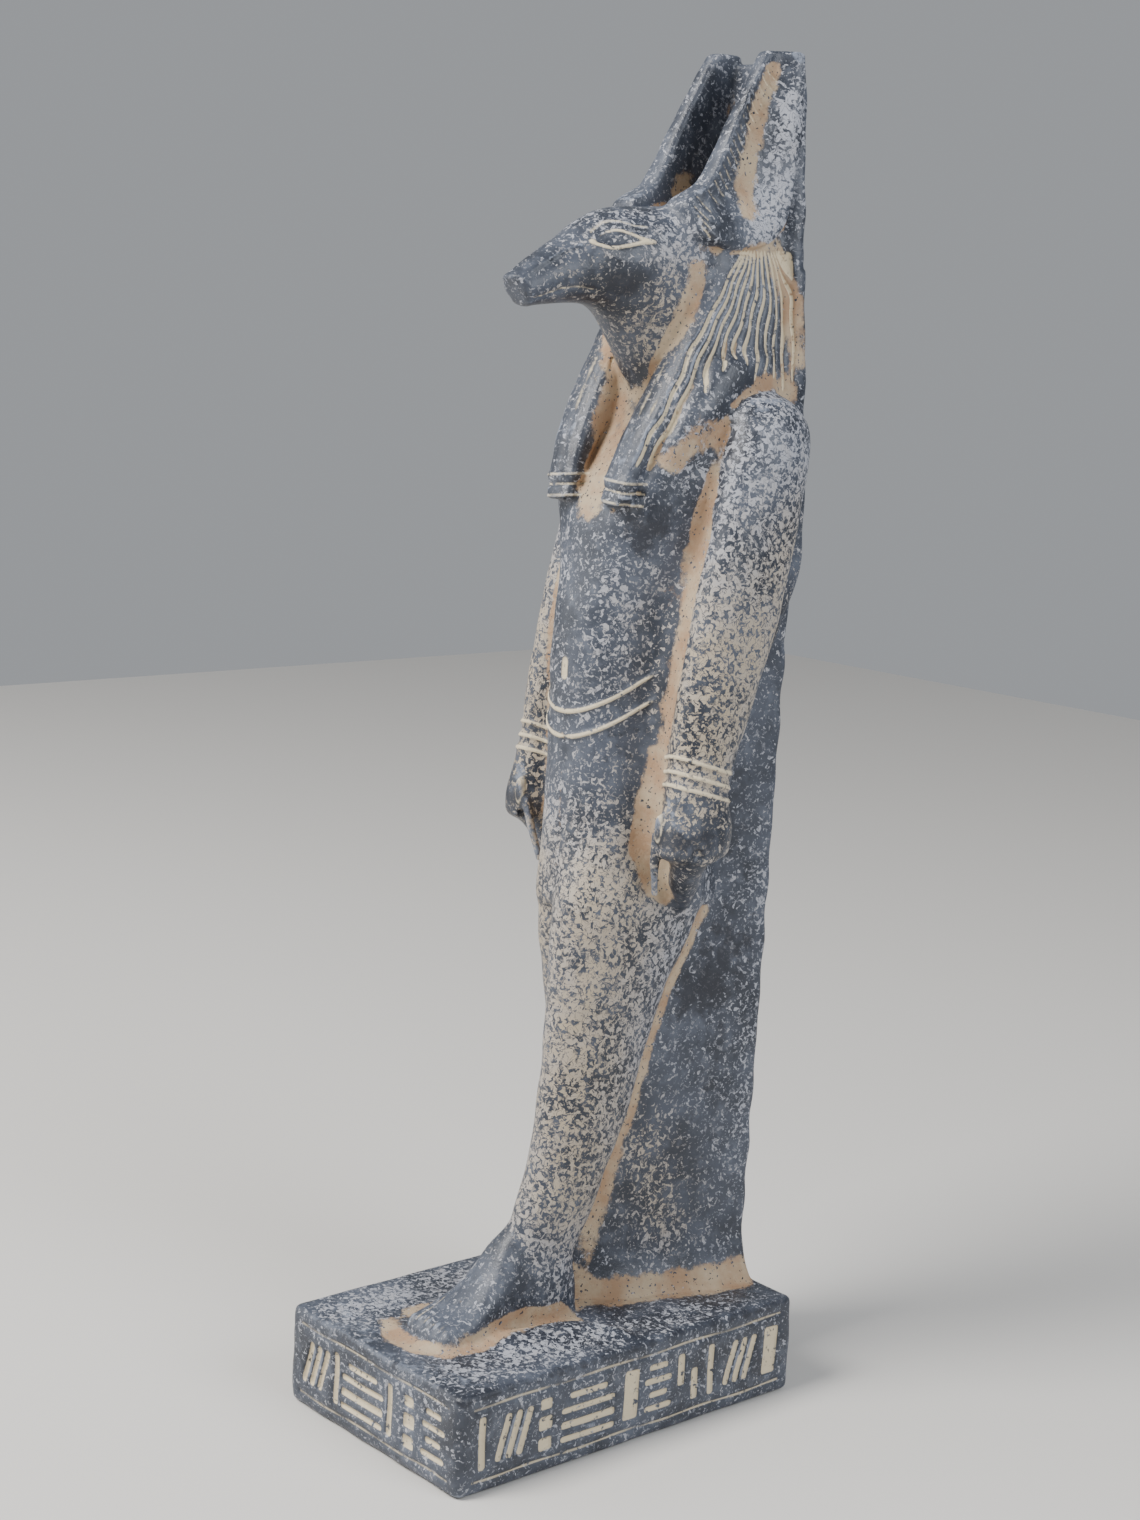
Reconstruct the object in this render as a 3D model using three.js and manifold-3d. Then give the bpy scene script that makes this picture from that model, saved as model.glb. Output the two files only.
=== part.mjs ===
import * as THREE from 'three';
import { mergeVertices } from 'three/addons/utils/BufferGeometryUtils.js';
import Module from 'manifold-3d';

// Striding figure with a long-snouted animal head, carved in one piece with its back pillar and plinth.
// Millimetres, +Z up. The origin is the middle of the underside. The figure faces -Y, its left is +X.

// Driving dimensions
const height = 249;          // underside to the tops of the ears
const plinthWidth = 51.5;
const plinthLength = 81.5;
const plinthHeight = 19;
const backPlane = 39.4;      // the back of the pillar, from the middle of the plinth
const strandCount = 13;      // wig strands on each side
const grooveWidth = 1;       // gaps between the toes
const strokeDepth = 0.6;     // sunk strokes round the plinth
const stoneColour = 0x4a5160;

// Levels of the figure above the underside, as shares of the height
const level = {
  hem: 0.39, fistEnd: 0.43, fist: 0.452, wrist: 0.482, belt: 0.527, navel: 0.557,
  elbow: 0.6, ribs: 0.63, chest: 0.67, shoulder: 0.73, collar: 0.765,
};
for (const name of Object.keys(level)) level[name] *= height;

const wasm = await Module();
wasm.setup();

const mix = (a, b, t) => a + (b - a) * t;
const steps = (count, make) => Array.from({ length: count + 1 }, (_, k) => make(k / count));

// Solids

function toSolid(geometry) {
  const bare = new THREE.BufferGeometry();
  bare.setAttribute('position', geometry.getAttribute('position'));
  bare.setIndex(geometry.getIndex());
  const merged = mergeVertices(bare, 1e-4);
  const vertProperties = new Float32Array(merged.getAttribute('position').array);
  const triVerts = new Uint32Array(merged.getIndex().array);
  return new wasm.Manifold(new wasm.Mesh({ numProp: 3, vertProperties, triVerts }));
}

// A closed skin over rings that all have the same number of points, with a flat fan at each end
function skin(rings) {
  const count = rings[0].length;
  const points = rings.flat();
  const index = [];
  for (let r = 0; r + 1 < rings.length; r++) {
    for (let k = 0; k < count; k++) {
      const a = r * count + k;
      const b = r * count + (k + 1) % count;
      index.push(a, b, b + count, a, b + count, a + count);
    }
  }
  for (const [start, flip] of [[0, true], [(rings.length - 1) * count, false]]) {
    const middle = points.length;
    const sum = new THREE.Vector3();
    for (let k = 0; k < count; k++) sum.add(points[start + k]);
    points.push(sum.divideScalar(count));
    for (let k = 0; k < count; k++) {
      const a = start + k;
      const b = start + (k + 1) % count;
      index.push(...(flip ? [b, a, middle] : [a, b, middle]));
    }
  }
  let volume = 0;
  for (let i = 0; i < index.length; i += 3) {
    const [p, q, s] = [points[index[i]], points[index[i + 1]], points[index[i + 2]]];
    volume += p.dot(new THREE.Vector3().crossVectors(q, s));
  }
  if (volume < 0) index.reverse();
  const geometry = new THREE.BufferGeometry().setFromPoints(points);
  geometry.setIndex(index);
  return toSolid(geometry);
}

// Smooth values between rows of numbers whose first entry is the place along the form
function between(rows, place) {
  const last = rows.length - 1;
  let i = 0;
  while (i < last - 1 && place > rows[i + 1][0]) i++;
  const [p, q] = [rows[i], rows[i + 1]];
  const span = q[0] - p[0];
  const t = Math.min(1, Math.max(0, (place - p[0]) / span));
  const slope = (k, at) => {
    const low = rows[Math.max(0, at - 1)];
    const high = rows[Math.min(last, at + 1)];
    return (high[k] - low[k]) / (high[0] - low[0]);
  };
  return p.map((v, k) => {
    if (k === 0) return place;
    const [m0, m1] = [slope(k, i) * span, slope(k, i + 1) * span];
    const d = q[k] - v;
    return v + m0 * t + (3 * d - 2 * m0 - m1) * t * t + (m0 + m1 - 2 * d) * t * t * t;
  });
}

// A form along one axis. Each row: place, centre (two), half sizes (two), squareness of the oval.
// Angle 0 is the figure's left, a quarter turn is its front (or the top, for a form that runs forward).
class Form {
  constructor(axis, rows) {
    this.axis = axis;
    this.rows = rows;
  }

  at(place, angle, swell = 0) {
    const [, c1, c2, h1, h2, square] = between(this.rows, place);
    const arc = (v) => Math.sign(v) * Math.abs(v) ** (2 / square);
    const p = c1 + (h1 + swell) * arc(Math.cos(angle));
    const q = (h2 + swell) * arc(Math.sin(angle));
    if (this.axis === 'z') return new THREE.Vector3(p, c2 - q, place);
    return new THREE.Vector3(p, place, c2 + q);
  }

  // How far out the left side stands at a place along the form and across it
  side(place, across) {
    const [, c1, c2, h1, h2, square] = between(this.rows, place);
    const off = Math.min(1, Math.abs(across - c2) / h2);
    return c1 + h1 * (1 - off ** square) ** (1 / square);
  }

  // Rings lie closer where the rows do. Raised lines round the form each add rings that swell and sink again,
  // tilted towards the front.
  solid(count, around, lines = [], swell = 0.5, tilt = 0) {
    const spans = this.rows.length - 1;
    const half = 0.6;
    const plain = steps(count, (t) => {
      const i = Math.min(spans - 1, Math.floor(t * spans));
      return [mix(this.rows[i][0], this.rows[i + 1][0], t * spans - i), 0];
    });
    const clear = plain.filter(([place]) => lines.every((line) => Math.abs(place - line) > 2.5 * half));
    const raised = lines.flatMap((line) => [[line - half, 0], [line, swell], [line + half, 0]]);
    const rings = [...clear, ...raised].sort((a, b) => a[0] - b[0]).map(([place, out]) => {
      const near = lines.some((line) => Math.abs(place - line) < 2 * half) ? tilt : 0;
      return steps(around - 1, (t) => {
        const angle = 2 * Math.PI * t * (around - 1) / around;
        return this.at(place + near * Math.sin(angle), angle, out);
      });
    });
    return skin(rings);
  }
}

// A thin round bead along points, joined on as a raised line or cut in as a groove
function bead(points, radius, sides = 4) {
  const round = new THREE.Shape();
  for (let k = 0; k < sides; k++) {
    const turn = 2 * Math.PI * k / sides;
    round[k ? 'lineTo' : 'moveTo'](radius * Math.cos(turn), radius * Math.sin(turn));
  }
  const extrudePath = new THREE.CatmullRomCurve3(points);
  return toSolid(new THREE.ExtrudeGeometry(round, { steps: points.length - 1, extrudePath, bevelEnabled: false }));
}

const join = (solids) => solids.reduce((whole, next) => whole.add(next));
const mirrored = (points) => points.map((p) => new THREE.Vector3(-p.x, p.y, p.z));

// Plinth

function plinth() {
  const corner = 3.5;
  const profile = [   // height, how far the side stands in from the widest line
    [0, 1.2], [1.2, 0.2], [8, 0], [16.8, 0.3], [18.3, 0.8], [plinthHeight, 1.8],
  ];
  const rings = profile.map(([z, inset]) => {
    const ring = [];
    const [x, y] = [plinthWidth / 2 - inset, plinthLength / 2 - inset];
    const r = corner - inset / 2;
    for (let quarter = 0; quarter < 4; quarter++) {
      const [sx, sy] = [[1, 1], [-1, 1], [-1, -1], [1, -1]][quarter];
      for (let k = 0; k <= 3; k++) {
        const turn = Math.PI / 2 * (quarter + k / 3);
        ring.push(new THREE.Vector3(sx * (x - r) + r * Math.cos(turn), sy * (y - r) + r * Math.sin(turn), z));
      }
    }
    return ring;
  });
  return skin(rings);
}

// Back pillar, with the web that narrows forward between the legs and flares out at its foot

function pillar() {
  const rows = [   // height, half width at the back, half width at the front, front end
    [plinthHeight - 2, 12.2, 1.6, 1.5], [60, 13.2, 2.4, 4], [100, 14, 4, 10], [150, 14.6, 8, 18],
    [190, 14.6, 10, 26], [215, 12, 9, 33], [height - 2, 9.8, 8, 36.5],
  ];
  const edge = 1;
  const flare = 5.5;
  const heights = [plinthHeight - 2, plinthHeight, 20.5, 22.5, 25.5, 31, 60, 100, 150, 190, 215, height - 2];
  const rings = heights.map((z) => {
    const [, wide, narrow, start] = between(rows, z);
    const out = flare * Math.max(0, 1 - (z - plinthHeight + 1) / 13) ** 2.5;
    return [
      [wide + out, backPlane - edge], [wide - edge + out, backPlane], [edge - wide - out, backPlane],
      [-wide - out, backPlane - edge], [-narrow - out / 6, start + 1], [1 - narrow, start],
      [narrow - 1, start], [narrow + out / 6, start + 1],
    ].map(([x, y]) => new THREE.Vector3(x, y, z));
  });
  return skin(rings);
}

// Stone left between an arm and the body

function armWeb(side) {
  const rows = [   // height, front, back, reach outward
    [level.hem - 2, 15, 21, 12], [level.fistEnd - 3, 10, 21, 16], [level.fistEnd + 3, 8, 20, 19],
    [level.belt, 8.5, 26, 19], [level.elbow, 10, 34, 19], [level.ribs, 12, 37, 19], [level.shoulder, 20, 37, 19],
  ];
  return skin(rows.map(([z, y, end, reach]) => (
    [[8, y + 3], [11, y], [reach, y], [reach + 1, y + 2], [reach - 2, end], [8, end]]
      .map(([x, depth]) => new THREE.Vector3(side * x, depth, z)))));
}

// Body, limbs and head

const torso = new Form('z', [
  [level.hem - 1, 0.4, 14, 12.4, 16.2, 2.3],
  [level.fistEnd, 0, 13.4, 12, 16, 2.3],
  [level.belt, -0.4, 12.5, 11.2, 15.1, 2.2],
  [level.navel, -0.4, 12.5, 11.2, 15.3, 2.2],
  [level.elbow, -0.4, 13, 11.4, 15, 2.2],
  [level.ribs, 0, 13.8, 12.8, 14.5, 2.3],
  [level.chest, 0, 15, 15, 14, 2.4],
  [level.shoulder, 0, 21, 17, 11, 2.3],
  [level.collar, 0, 25, 12, 9, 2.2],
]);

const leftLeg = new Form('z', [
  [plinthHeight - 1, 2.5, -6, 5, 6, 2],
  [30, 3, -5, 5, 7.2, 2],
  [39, 3.8, -2.8, 5.4, 9, 2],
  [46, 4.2, -0.6, 5.8, 8.9, 2],
  [58, 4.6, 2.6, 6.3, 10.4, 2],
  [69, 4.8, 4.6, 6.8, 11.5, 2],
  [81, 5, 7, 7.4, 13.4, 2.1],
  [95, 5.2, 11.2, 8.2, 17.2, 2.2],
  [103, 5, 12.2, 7.2, 15.4, 2.2],
  [114, 4, 13, 4, 9, 2.2],
]);

const rightLeg = new Form('z', [
  [plinthHeight - 1, -8, 15, 5, 7, 2],
  [30, -8, 14.5, 5, 6.5, 2],
  [46, -7.8, 14, 5.6, 8, 2],
  [69, -7, 14, 6.3, 10, 2],
  [95, -5, 14, 7.5, 15, 2.2],
  [110, -4, 13, 5, 12, 2.2],
]);

const footRows = (x, heel, reach) => [
  [heel - reach, x, 20, 4.7, 1.4, 2.8],
  [heel - reach * 0.94, x, 20.8, 5.4, 2.6, 2.6],
  [heel - reach * 0.8, x, 21.3, 5.5, 3.8, 2.4],
  [heel - reach * 0.62, x, 23, 5.3, 6.6, 2.2],
  [heel - reach * 0.42, x, 25, 5, 11, 2.1],
  [heel - reach * 0.2, x, 25, 5, 10, 2.1],
  [heel, x, 23, 4.6, 6.6, 2.1],
  [heel + 2.4, x, 22, 2.4, 3.8, 2],
];
const leftFoot = new Form('y', footRows(2.6, 1.5, 34.5));
const rightFoot = new Form('y', footRows(-8.5, 25, 30));

const arm = new Form('z', [
  [level.fistEnd, 21.2, 10.8, 3.9, 5.2, 2.6],
  [level.fistEnd + 1.5, 21.3, 10.8, 4.9, 6.8, 2.6],
  [level.fist, 21.3, 11, 5.1, 7, 2.4],
  [level.wrist - 2, 21, 11.4, 4.6, 6.2, 2.2],
  [level.wrist + 4, 20.7, 12.2, 4.5, 6.3, 2.1],
  [level.belt, 20.5, 14.2, 5, 7.8, 2.1],
  [level.elbow, 20.2, 19, 5.4, 9.6, 2.1],
  [level.chest, 19.6, 23, 6, 9.4, 2.1],
  [level.shoulder - 4, 19, 25.2, 6.6, 9.2, 2.1],
  [level.shoulder + 1, 18.4, 26, 6.3, 8.5, 2.1],
  [level.shoulder + 4, 17.9, 26, 5.3, 7.2, 2],
  [level.shoulder + 6, 17.3, 26, 3.8, 5.2, 2],
  [level.shoulder + 7.2, 16.8, 26, 1.6, 2.4, 2],
]);

const head = new Form('y', [
  [-19.6, 0, 204.2, 1.8, 1.6, 2.2],
  [-18, 0, 204.4, 3.2, 3.1, 2.3],
  [-14, 0, 205.8, 3.9, 3.9, 2.3],
  [-9, 0, 207.8, 4.8, 4.9, 2.1],
  [-4, 0, 210, 6.5, 6.6, 2.1],
  [2, 0, 211.2, 9, 8.7, 2.1],
  [8, 0, 210.5, 10.5, 10, 2.1],
  [16, 0, 209, 11.5, 11.8, 2.1],
  [27, 0, 208, 11, 13, 2.1],
]);

const neck = new Form('z', [
  [172, 0, 21, 8.5, 16, 2],
  [180, 0, 22, 8.5, 13, 2],
  [188, 0, 22, 9, 11.5, 2],
  [196, 0, 20, 9.5, 14, 2],
  [204, 0, 17, 9.8, 17, 2],
]);

const wig = new Form('z', [
  [181, 0, 28, 16, 10.6, 2.4],
  [188, 0, 27, 15.3, 12.6, 2.4],
  [196, 0, 27, 14.3, 13.6, 2.4],
  [205, 0, 27, 13.3, 13.1, 2.4],
  [213, 0, 27.5, 12.1, 12.1, 2.4],
  [219, 0, 28, 10.5, 10.6, 2.3],
]);

const lappet = new Form('z', [
  [168.4, 7.4, 1.4, 3.4, 2.1, 3],
  [172, 7.5, 1.8, 3.2, 2.1, 3],
  [176, 7.9, 3.2, 3.3, 2.5, 3],
  [181, 8.6, 5.8, 3.6, 3.4, 2.8],
  [188, 9.4, 11.5, 4.1, 5.6, 2.6],
  [196, 9.7, 16.8, 4, 6.4, 2.5],
  [205, 9.6, 20.7, 3.4, 6.1, 2.5],
  [213, 9.3, 24, 2.8, 5, 2.4],
]);

// An ear is a tall shell that opens outward: a rounded front rim, a hollow, and a full rear lobe below

function ear(side) {
  const rows = [   // height, front, rear, inner face, reach of the rim, reach of the rear edge, hollow
    [213.6, 20, 25, 4, 12.5, 13, -0.2],
    [215.5, 15.5, 29, 4, 12.4, 14, 0],
    [218.5, 12.5, 32, 4, 11.6, 13.8, 0.6],
    [221.5, 11.8, 33.8, 4.2, 10.2, 13.2, 1.4],
    [225, 17, 35, 4.8, 9.6, 12.6, 1.9],
    [236, 23.4, 36.6, 5.2, 9.2, 12, 2],
    [245, 28.6, 37.2, 5.2, 8.8, 11.6, 1.5],
    [height, 31, 37.4, 5, 8.4, 11, 0.8],
  ];
  const heights = [213.6, 215.5, 217.5, 219.5, 221.5, 223.2, 225, 230, 236, 243, height - 1, height];
  const rings = heights.map((z) => {
    const [, start, end, inner, rim, rear, hollow] = between(rows, z);
    const tuck = z === height ? 0.8 : 0;
    const outline = [[inner + tuck, start + 1.2 + tuck], [inner + 1, start + tuck], [rim - 1.2, start + tuck]];
    for (let k = 0; k <= 5; k++) {
      const t = k / 5;
      const dip = hollow * Math.sin(Math.PI * Math.min(1, t * 1.15)) ** 1.3;
      outline.push([mix(rim, rear, t) - dip - tuck, mix(start + 1.3, end - 0.6, t)]);
    }
    outline.push([rear - 1.2, end], [rear - 3, end + 1.5], [inner, end + 1.5]);
    return outline.map(([x, y]) => new THREE.Vector3(side * x, y, z));
  });
  return skin(rings);
}

// Carved lines

// The strands of one side fan out from under the ear; the first few run on down the lappet
function wigStrands(side) {
  const frontEdge = [[169, -0.4], [175, 0], [181, 2.4], [188, 6.4], [196, 10.8], [203, 15.4], [209, 19.5], [213.5, 23]];
  const lowerEdge = [[0.3, 183], [0.6, 187.5], [1, 184]];   // share of the fan, height where it meets the shoulder
  const [top, lappetEnd, lappetShare] = [213.5, 172.6, 5 / strandCount];
  const columns = 2 * strandCount;
  const point = (share, out, t) => {
    const onLappet = share <= lappetShare + 0.01;
    const z = mix(top, onLappet ? lappetEnd : between(lowerEdge, share)[1], t);
    const y = mix(between(frontEdge, z)[1] + 0.4, z > 205 ? mix(38.5, 34, (z - 205) / 9) : 38.5, share ** 1.15);
    const fan = new THREE.Vector3(Math.max(wig.side(z, y), lappet.side(z, y)) + out, y, z);
    if (!onLappet) return fan;
    const down = Math.min(1, Math.max(0, (198 - z) / 12));
    return fan.lerp(lappet.at(z, mix(1.45, 0.15, share / lappetShare) * Math.PI / 2, out), down);
  };
  const rings = steps(7, (t) => {
    const ring = steps(columns, (share) => point(share, Math.round(share * columns) % 2 ? 0.8 : 0.1, t));
    const [first, last] = [ring[0], ring[columns]];
    for (const depth of [0, 0.5, 1]) {
      const inner = last.clone().lerp(first, depth);
      ring.push(new THREE.Vector3(mix(8, 5.5, t), inner.y + mix(0, 2, depth), inner.z));
    }
    return ring;
  });
  return skin(side > 0 ? rings : rings.map(mirrored));
}

function belt() {   // two raised lines that dip at the front
  const dip = 10;
  return [level.belt, level.belt - 4.6].map((z) => bead(steps(10, (t) => {
    const angle = mix(0.15, 1.85, t) * Math.PI / 2;
    return torso.at(z + dip * (1 - Math.sin(angle)), angle);
  }), 0.5, 3));
}

function onHead(points) {   // pairs of place along the head and height
  return points.map(([y, z]) => new THREE.Vector3(head.side(y, z), y, z));
}

const eyeLine = (rise) => onHead(steps(5, (t) => [mix(-6.4, 4.8, t), 213.6 + rise * Math.sin(Math.PI * t) ** 0.8]));
const browLine = onHead(steps(4, (t) => [mix(-5.4, 7, t), mix(215.4, 215.6, t) + 2.4 * Math.sin(Math.PI * t)]));
const mouthLine = onHead(steps(4, (t) => [mix(-18, -4, t), mix(203.2, 206.2, t)]));

// The front edge of the kilt's overlap, and the end of the cloth held in a fist
const kiltEdge = steps(3, (t) => torso.at(mix(level.belt - 6, level.fistEnd - 2, t), mix(0.9, 1.06, t) * Math.PI / 2));
const heldCloth = [[18.8, 4.6, 112], [17, 5.4, 106], [15.4, 6.4, 98.5]].map((p) => new THREE.Vector3(...p));

function toeGaps(form, tip, x) {
  return [-0.58, -0.22, 0.14, 0.5].map((share) => {
    const points = steps(2, (t) => {
      const y = tip + 0.2 + 6.4 * t;
      const [, , z, half, rise, square] = between(form.rows, y);
      return new THREE.Vector3(x + share * 5.4, y, z + rise * (1 - Math.abs(share * 5.4 / half) ** square) ** (1 / square));
    });
    return bead(points, grooveWidth / 2);
  });
}

// Frame lines and rows of plain strokes round the plinth

function plinthMarks() {
  const cuts = [];
  const [bottomLine, topLine] = [3.2, 16];
  const kinds = {   // across, up, width, height, slant; shares of the row's height
    bar: [[0, 0.5, 0.14, 0.86, 0]],
    wide: [[0, 0.55, 0.3, 0.8, 0]],
    slants: [[-0.3, 0.45, 0.16, 1, 0.6], [0.15, 0.5, 0.2, 0.9, 0.35]],
    stack: [[0, 0.12, 1.2, 0.11, 0], [0, 0.36, 1.2, 0.11, 0], [0, 0.6, 1.2, 0.11, 0], [0, 0.86, 0.3, 0.16, 0]],
    step: [[0.2, 0.5, 0.14, 0.86, 0], [-0.25, 0.14, 0.5, 0.12, 0]],
    pair: [[-0.22, 0.62, 0.14, 0.6, 0], [0.22, 0.42, 0.14, 0.7, 0]],
  };
  const row = (list, along, out, turn) => {
    const reach = topLine - bottomLine - 2.6;
    const base = bottomLine + 1.3;
    for (const [kind, place] of list) {
      for (const [across, up, wide, tall, slant] of kinds[kind]) {
        const middle = new THREE.Vector3(0, place * along + across * reach * 0.8, base + up * reach);
        const size = [strokeDepth * 2, wide * reach, tall * reach];
        const cut = toSolid(new THREE.BoxGeometry(...size).rotateX(slant).translate(out, middle.y, middle.z).rotateZ(turn));
        cuts.push(cut);
      }
    }
    for (const z of [bottomLine, topLine]) {
      const half = along + 1;
      cuts.push(toSolid(new THREE.BoxGeometry(strokeDepth * 1.2, 2 * half, 0.8).translate(out, 0, z).rotateZ(turn)));
    }
  };
  const longRow = [
    ['slants', -0.8], ['bar', -0.5], ['stack', -0.18], ['wide', 0.16], ['step', 0.4], ['pair', 0.65], ['wide', 0.94],
  ];
  const shortRow = [['slants', -0.74], ['stack', -0.16], ['bar', 0.36], ['step', 0.78]];
  const [sideOut, endOut] = [plinthWidth / 2 - 0.1, plinthLength / 2 - 0.1];
  row(longRow, plinthLength / 2 - 4.5, sideOut, 0);
  row(longRow, plinthLength / 2 - 4.5, sideOut, Math.PI);
  row(shortRow, plinthWidth / 2 - 4.5, endOut, -Math.PI / 2);
  row(shortRow, plinthWidth / 2 - 4.5, endOut, Math.PI / 2);
  return cuts;
}

const mirror = (solid) => solid.mirror([1, 0, 0]);
const bracelets = [0, 2, 4].map((rise) => level.wrist - 0.6 + rise);
const oneArm = join([arm.solid(15, 12, bracelets, 0.5, 1), bead(heldCloth, 1.4, 5)]);
const oneLappet = lappet.solid(7, 10, [170.6, 173.2], 0.4);

const body = join([
  pillar(),
  torso.solid(12, 20),
  leftLeg.solid(12, 14),
  rightLeg.solid(6, 12),
  leftFoot.solid(10, 12),
  rightFoot.solid(7, 10),
  oneArm,
  mirror(oneArm),
  armWeb(1),
  armWeb(-1),
  head.solid(14, 16),
  neck.solid(5, 14),
  wig.solid(5, 20),
  oneLappet,
  mirror(oneLappet),
  wigStrands(1),
  wigStrands(-1),
  ear(1),
  ear(-1),
  ...belt(),
]);

const raisedFace = [eyeLine(2.5), eyeLine(-0.6), browLine].flatMap((line) => [line, mirrored(line)]);
const grooves = join([
  ...toeGaps(leftFoot, -33, 2.6),
  bead(mouthLine, 0.4, 3),
  bead(mirrored(mouthLine), 0.4, 3),
  bead(kiltEdge, 0.5, 3),
  toSolid(new THREE.IcosahedronGeometry(1.6, 0).scale(0.8, 1, 1.3).translate(0, -3.2, level.navel)),
]);

const figure = join([body, ...raisedFace.map((line) => bead(line, 0.45, 3))]).subtract(grooves);
const statueSolid = plinth().subtract(join(plinthMarks())).add(figure);

const mesh = statueSolid.getMesh();
const geometry = new THREE.BufferGeometry();
geometry.setAttribute('position', new THREE.BufferAttribute(new Float32Array(mesh.vertProperties), 3));
geometry.setIndex(new THREE.BufferAttribute(new Uint32Array(mesh.triVerts), 1));

const statue = new THREE.Mesh(
  geometry,
  new THREE.MeshStandardMaterial({ color: stoneColour, roughness: 0.7, metalness: 0 }),
);
statue.name = 'seth_statue';

const group = new THREE.Group();
group.add(statue);
export default group;
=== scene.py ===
import math

import bmesh
import bpy
import numpy as np
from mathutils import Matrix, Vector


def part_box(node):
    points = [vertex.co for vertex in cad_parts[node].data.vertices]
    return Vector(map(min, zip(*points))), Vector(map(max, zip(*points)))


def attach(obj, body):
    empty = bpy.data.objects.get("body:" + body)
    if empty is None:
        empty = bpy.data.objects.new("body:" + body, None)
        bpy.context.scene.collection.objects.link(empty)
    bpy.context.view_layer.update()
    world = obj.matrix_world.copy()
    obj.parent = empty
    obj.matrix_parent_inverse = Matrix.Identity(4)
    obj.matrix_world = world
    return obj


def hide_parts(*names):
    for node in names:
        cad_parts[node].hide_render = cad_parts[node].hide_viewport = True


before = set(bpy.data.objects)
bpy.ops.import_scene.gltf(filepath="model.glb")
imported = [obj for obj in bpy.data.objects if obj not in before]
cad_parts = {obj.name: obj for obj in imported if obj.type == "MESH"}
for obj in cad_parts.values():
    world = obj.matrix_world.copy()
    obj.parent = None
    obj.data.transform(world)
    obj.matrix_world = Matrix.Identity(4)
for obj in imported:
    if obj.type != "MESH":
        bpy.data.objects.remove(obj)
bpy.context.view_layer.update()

import openvdb
from mathutils import Matrix, Vector

# The whole statue is one carving, so it is worked out as one block of distances to the stone's
# surface: forms are joined into it, lines are cut into it, and the block is then turned into a mesh.
# Inside the block everything is in millimetres. The figure faces -Y and its left side is +X.

low, high = [[1000 * c for c in corner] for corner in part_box("seth_statue")]
statue = {
    "height": high[2],
    "plinthHeight": high[2] * 0.0763,
    "halfLength": high[1],
    "halfWidth": high[1] * 0.632,
    "backPlane": high[1] * 0.967,
    "pitch": 0.38,          # spacing of the block's points
    "wave": 0.13,           # how uneven the hand-rubbed surface is
    "triangles": 192000,
}


def mix(a, b, t):
    return a + (b - a) * t


def ease(t):
    t = np.clip(t, 0, 1)
    return t * t * (3 - 2 * t)


def between(rows, place):
    # smooth values between rows whose first entry is the place along the form
    rows = np.array(rows, float)
    at = rows[:, 0]
    slope = np.empty_like(rows)
    slope[1:-1] = (rows[2:] - rows[:-2]) / (at[2:] - at[:-2])[:, None]
    slope[0] = (rows[1] - rows[0]) / (at[1] - at[0])
    slope[-1] = (rows[-1] - rows[-2]) / (at[-1] - at[-2])
    place = np.clip(np.atleast_1d(place), at[0], at[-1])
    i = np.clip(np.searchsorted(at, place, side="right") - 1, 0, len(at) - 2)
    span = (at[i + 1] - at[i])[:, None]
    t = (place[:, None] - at[i][:, None]) / span
    m0, m1, d = slope[i] * span, slope[i + 1] * span, rows[i + 1] - rows[i]
    return rows[i] + m0 * t + (3 * d - 2 * m0 - m1) * t ** 2 + (m0 + m1 - 2 * d) * t ** 3


def smoothLow(a, b, blend):
    # the lower of two distances, with the crease between them filled over that width
    near = np.maximum(blend - np.abs(a - b), 0) / blend
    return np.minimum(a, b) - near * near * blend / 4


def smoothHigh(a, b, blend):
    return -smoothLow(-a, -b, blend)


class Block:
    def __init__(self, corner, far, pitch):
        self.corner = np.array(corner, float)
        self.pitch = pitch
        self.count = np.ceil((np.array(far) - self.corner) / pitch).astype(int) + 1
        self.axes = [self.corner[k] + pitch * np.arange(self.count[k]) for k in range(3)]
        self.field = np.full(self.count, 12, np.float32)
        self.lines = np.zeros(self.count, np.float32)    # fine carving, kept apart until the forms are done

    def area(self, low, high):
        # the part of the block inside a box: its slices, and its x, y and z as arrays that spread
        cuts = []
        for k in range(3):
            first = int(np.clip((low[k] - self.corner[k]) // self.pitch, 0, self.count[k] - 2))
            last = int(np.clip((high[k] - self.corner[k]) // self.pitch + 2, first + 2, self.count[k]))
            cuts.append(slice(first, last))
        x, y, z = [self.axes[k][cuts[k]].astype(np.float32) for k in range(3)]
        return tuple(cuts), x[:, None, None], y[None, :, None], z[None, None, :]

    def join(self, cuts, distance, blend):
        self.field[cuts] = smoothLow(self.field[cuts], distance.astype(np.float32), blend)

    def cut(self, cuts, distance, blend):
        self.field[cuts] = smoothHigh(self.field[cuts], -distance.astype(np.float32), blend)

    def raiseBy(self, cuts, amount):
        # lifts the surface where amount is positive and sinks it where it is negative
        self.field[cuts] -= amount.astype(np.float32)

    def etch(self, cuts, amount):
        self.lines[cuts] += amount.astype(np.float32)

    def sample(self, field, points):
        at = (points - self.corner) / self.pitch
        i = np.clip(np.floor(at).astype(int), 0, self.count - 2)
        t = np.clip(at - i, 0, 1)
        total = np.zeros(len(points))
        for corner in range(8):
            step = np.array([corner & 1, corner >> 1 & 1, corner >> 2 & 1])
            weight = np.prod(np.where(step, t, 1 - t), axis=1)
            j = i + step
            total += weight * field[j[:, 0], j[:, 1], j[:, 2]]
        return total


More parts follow.
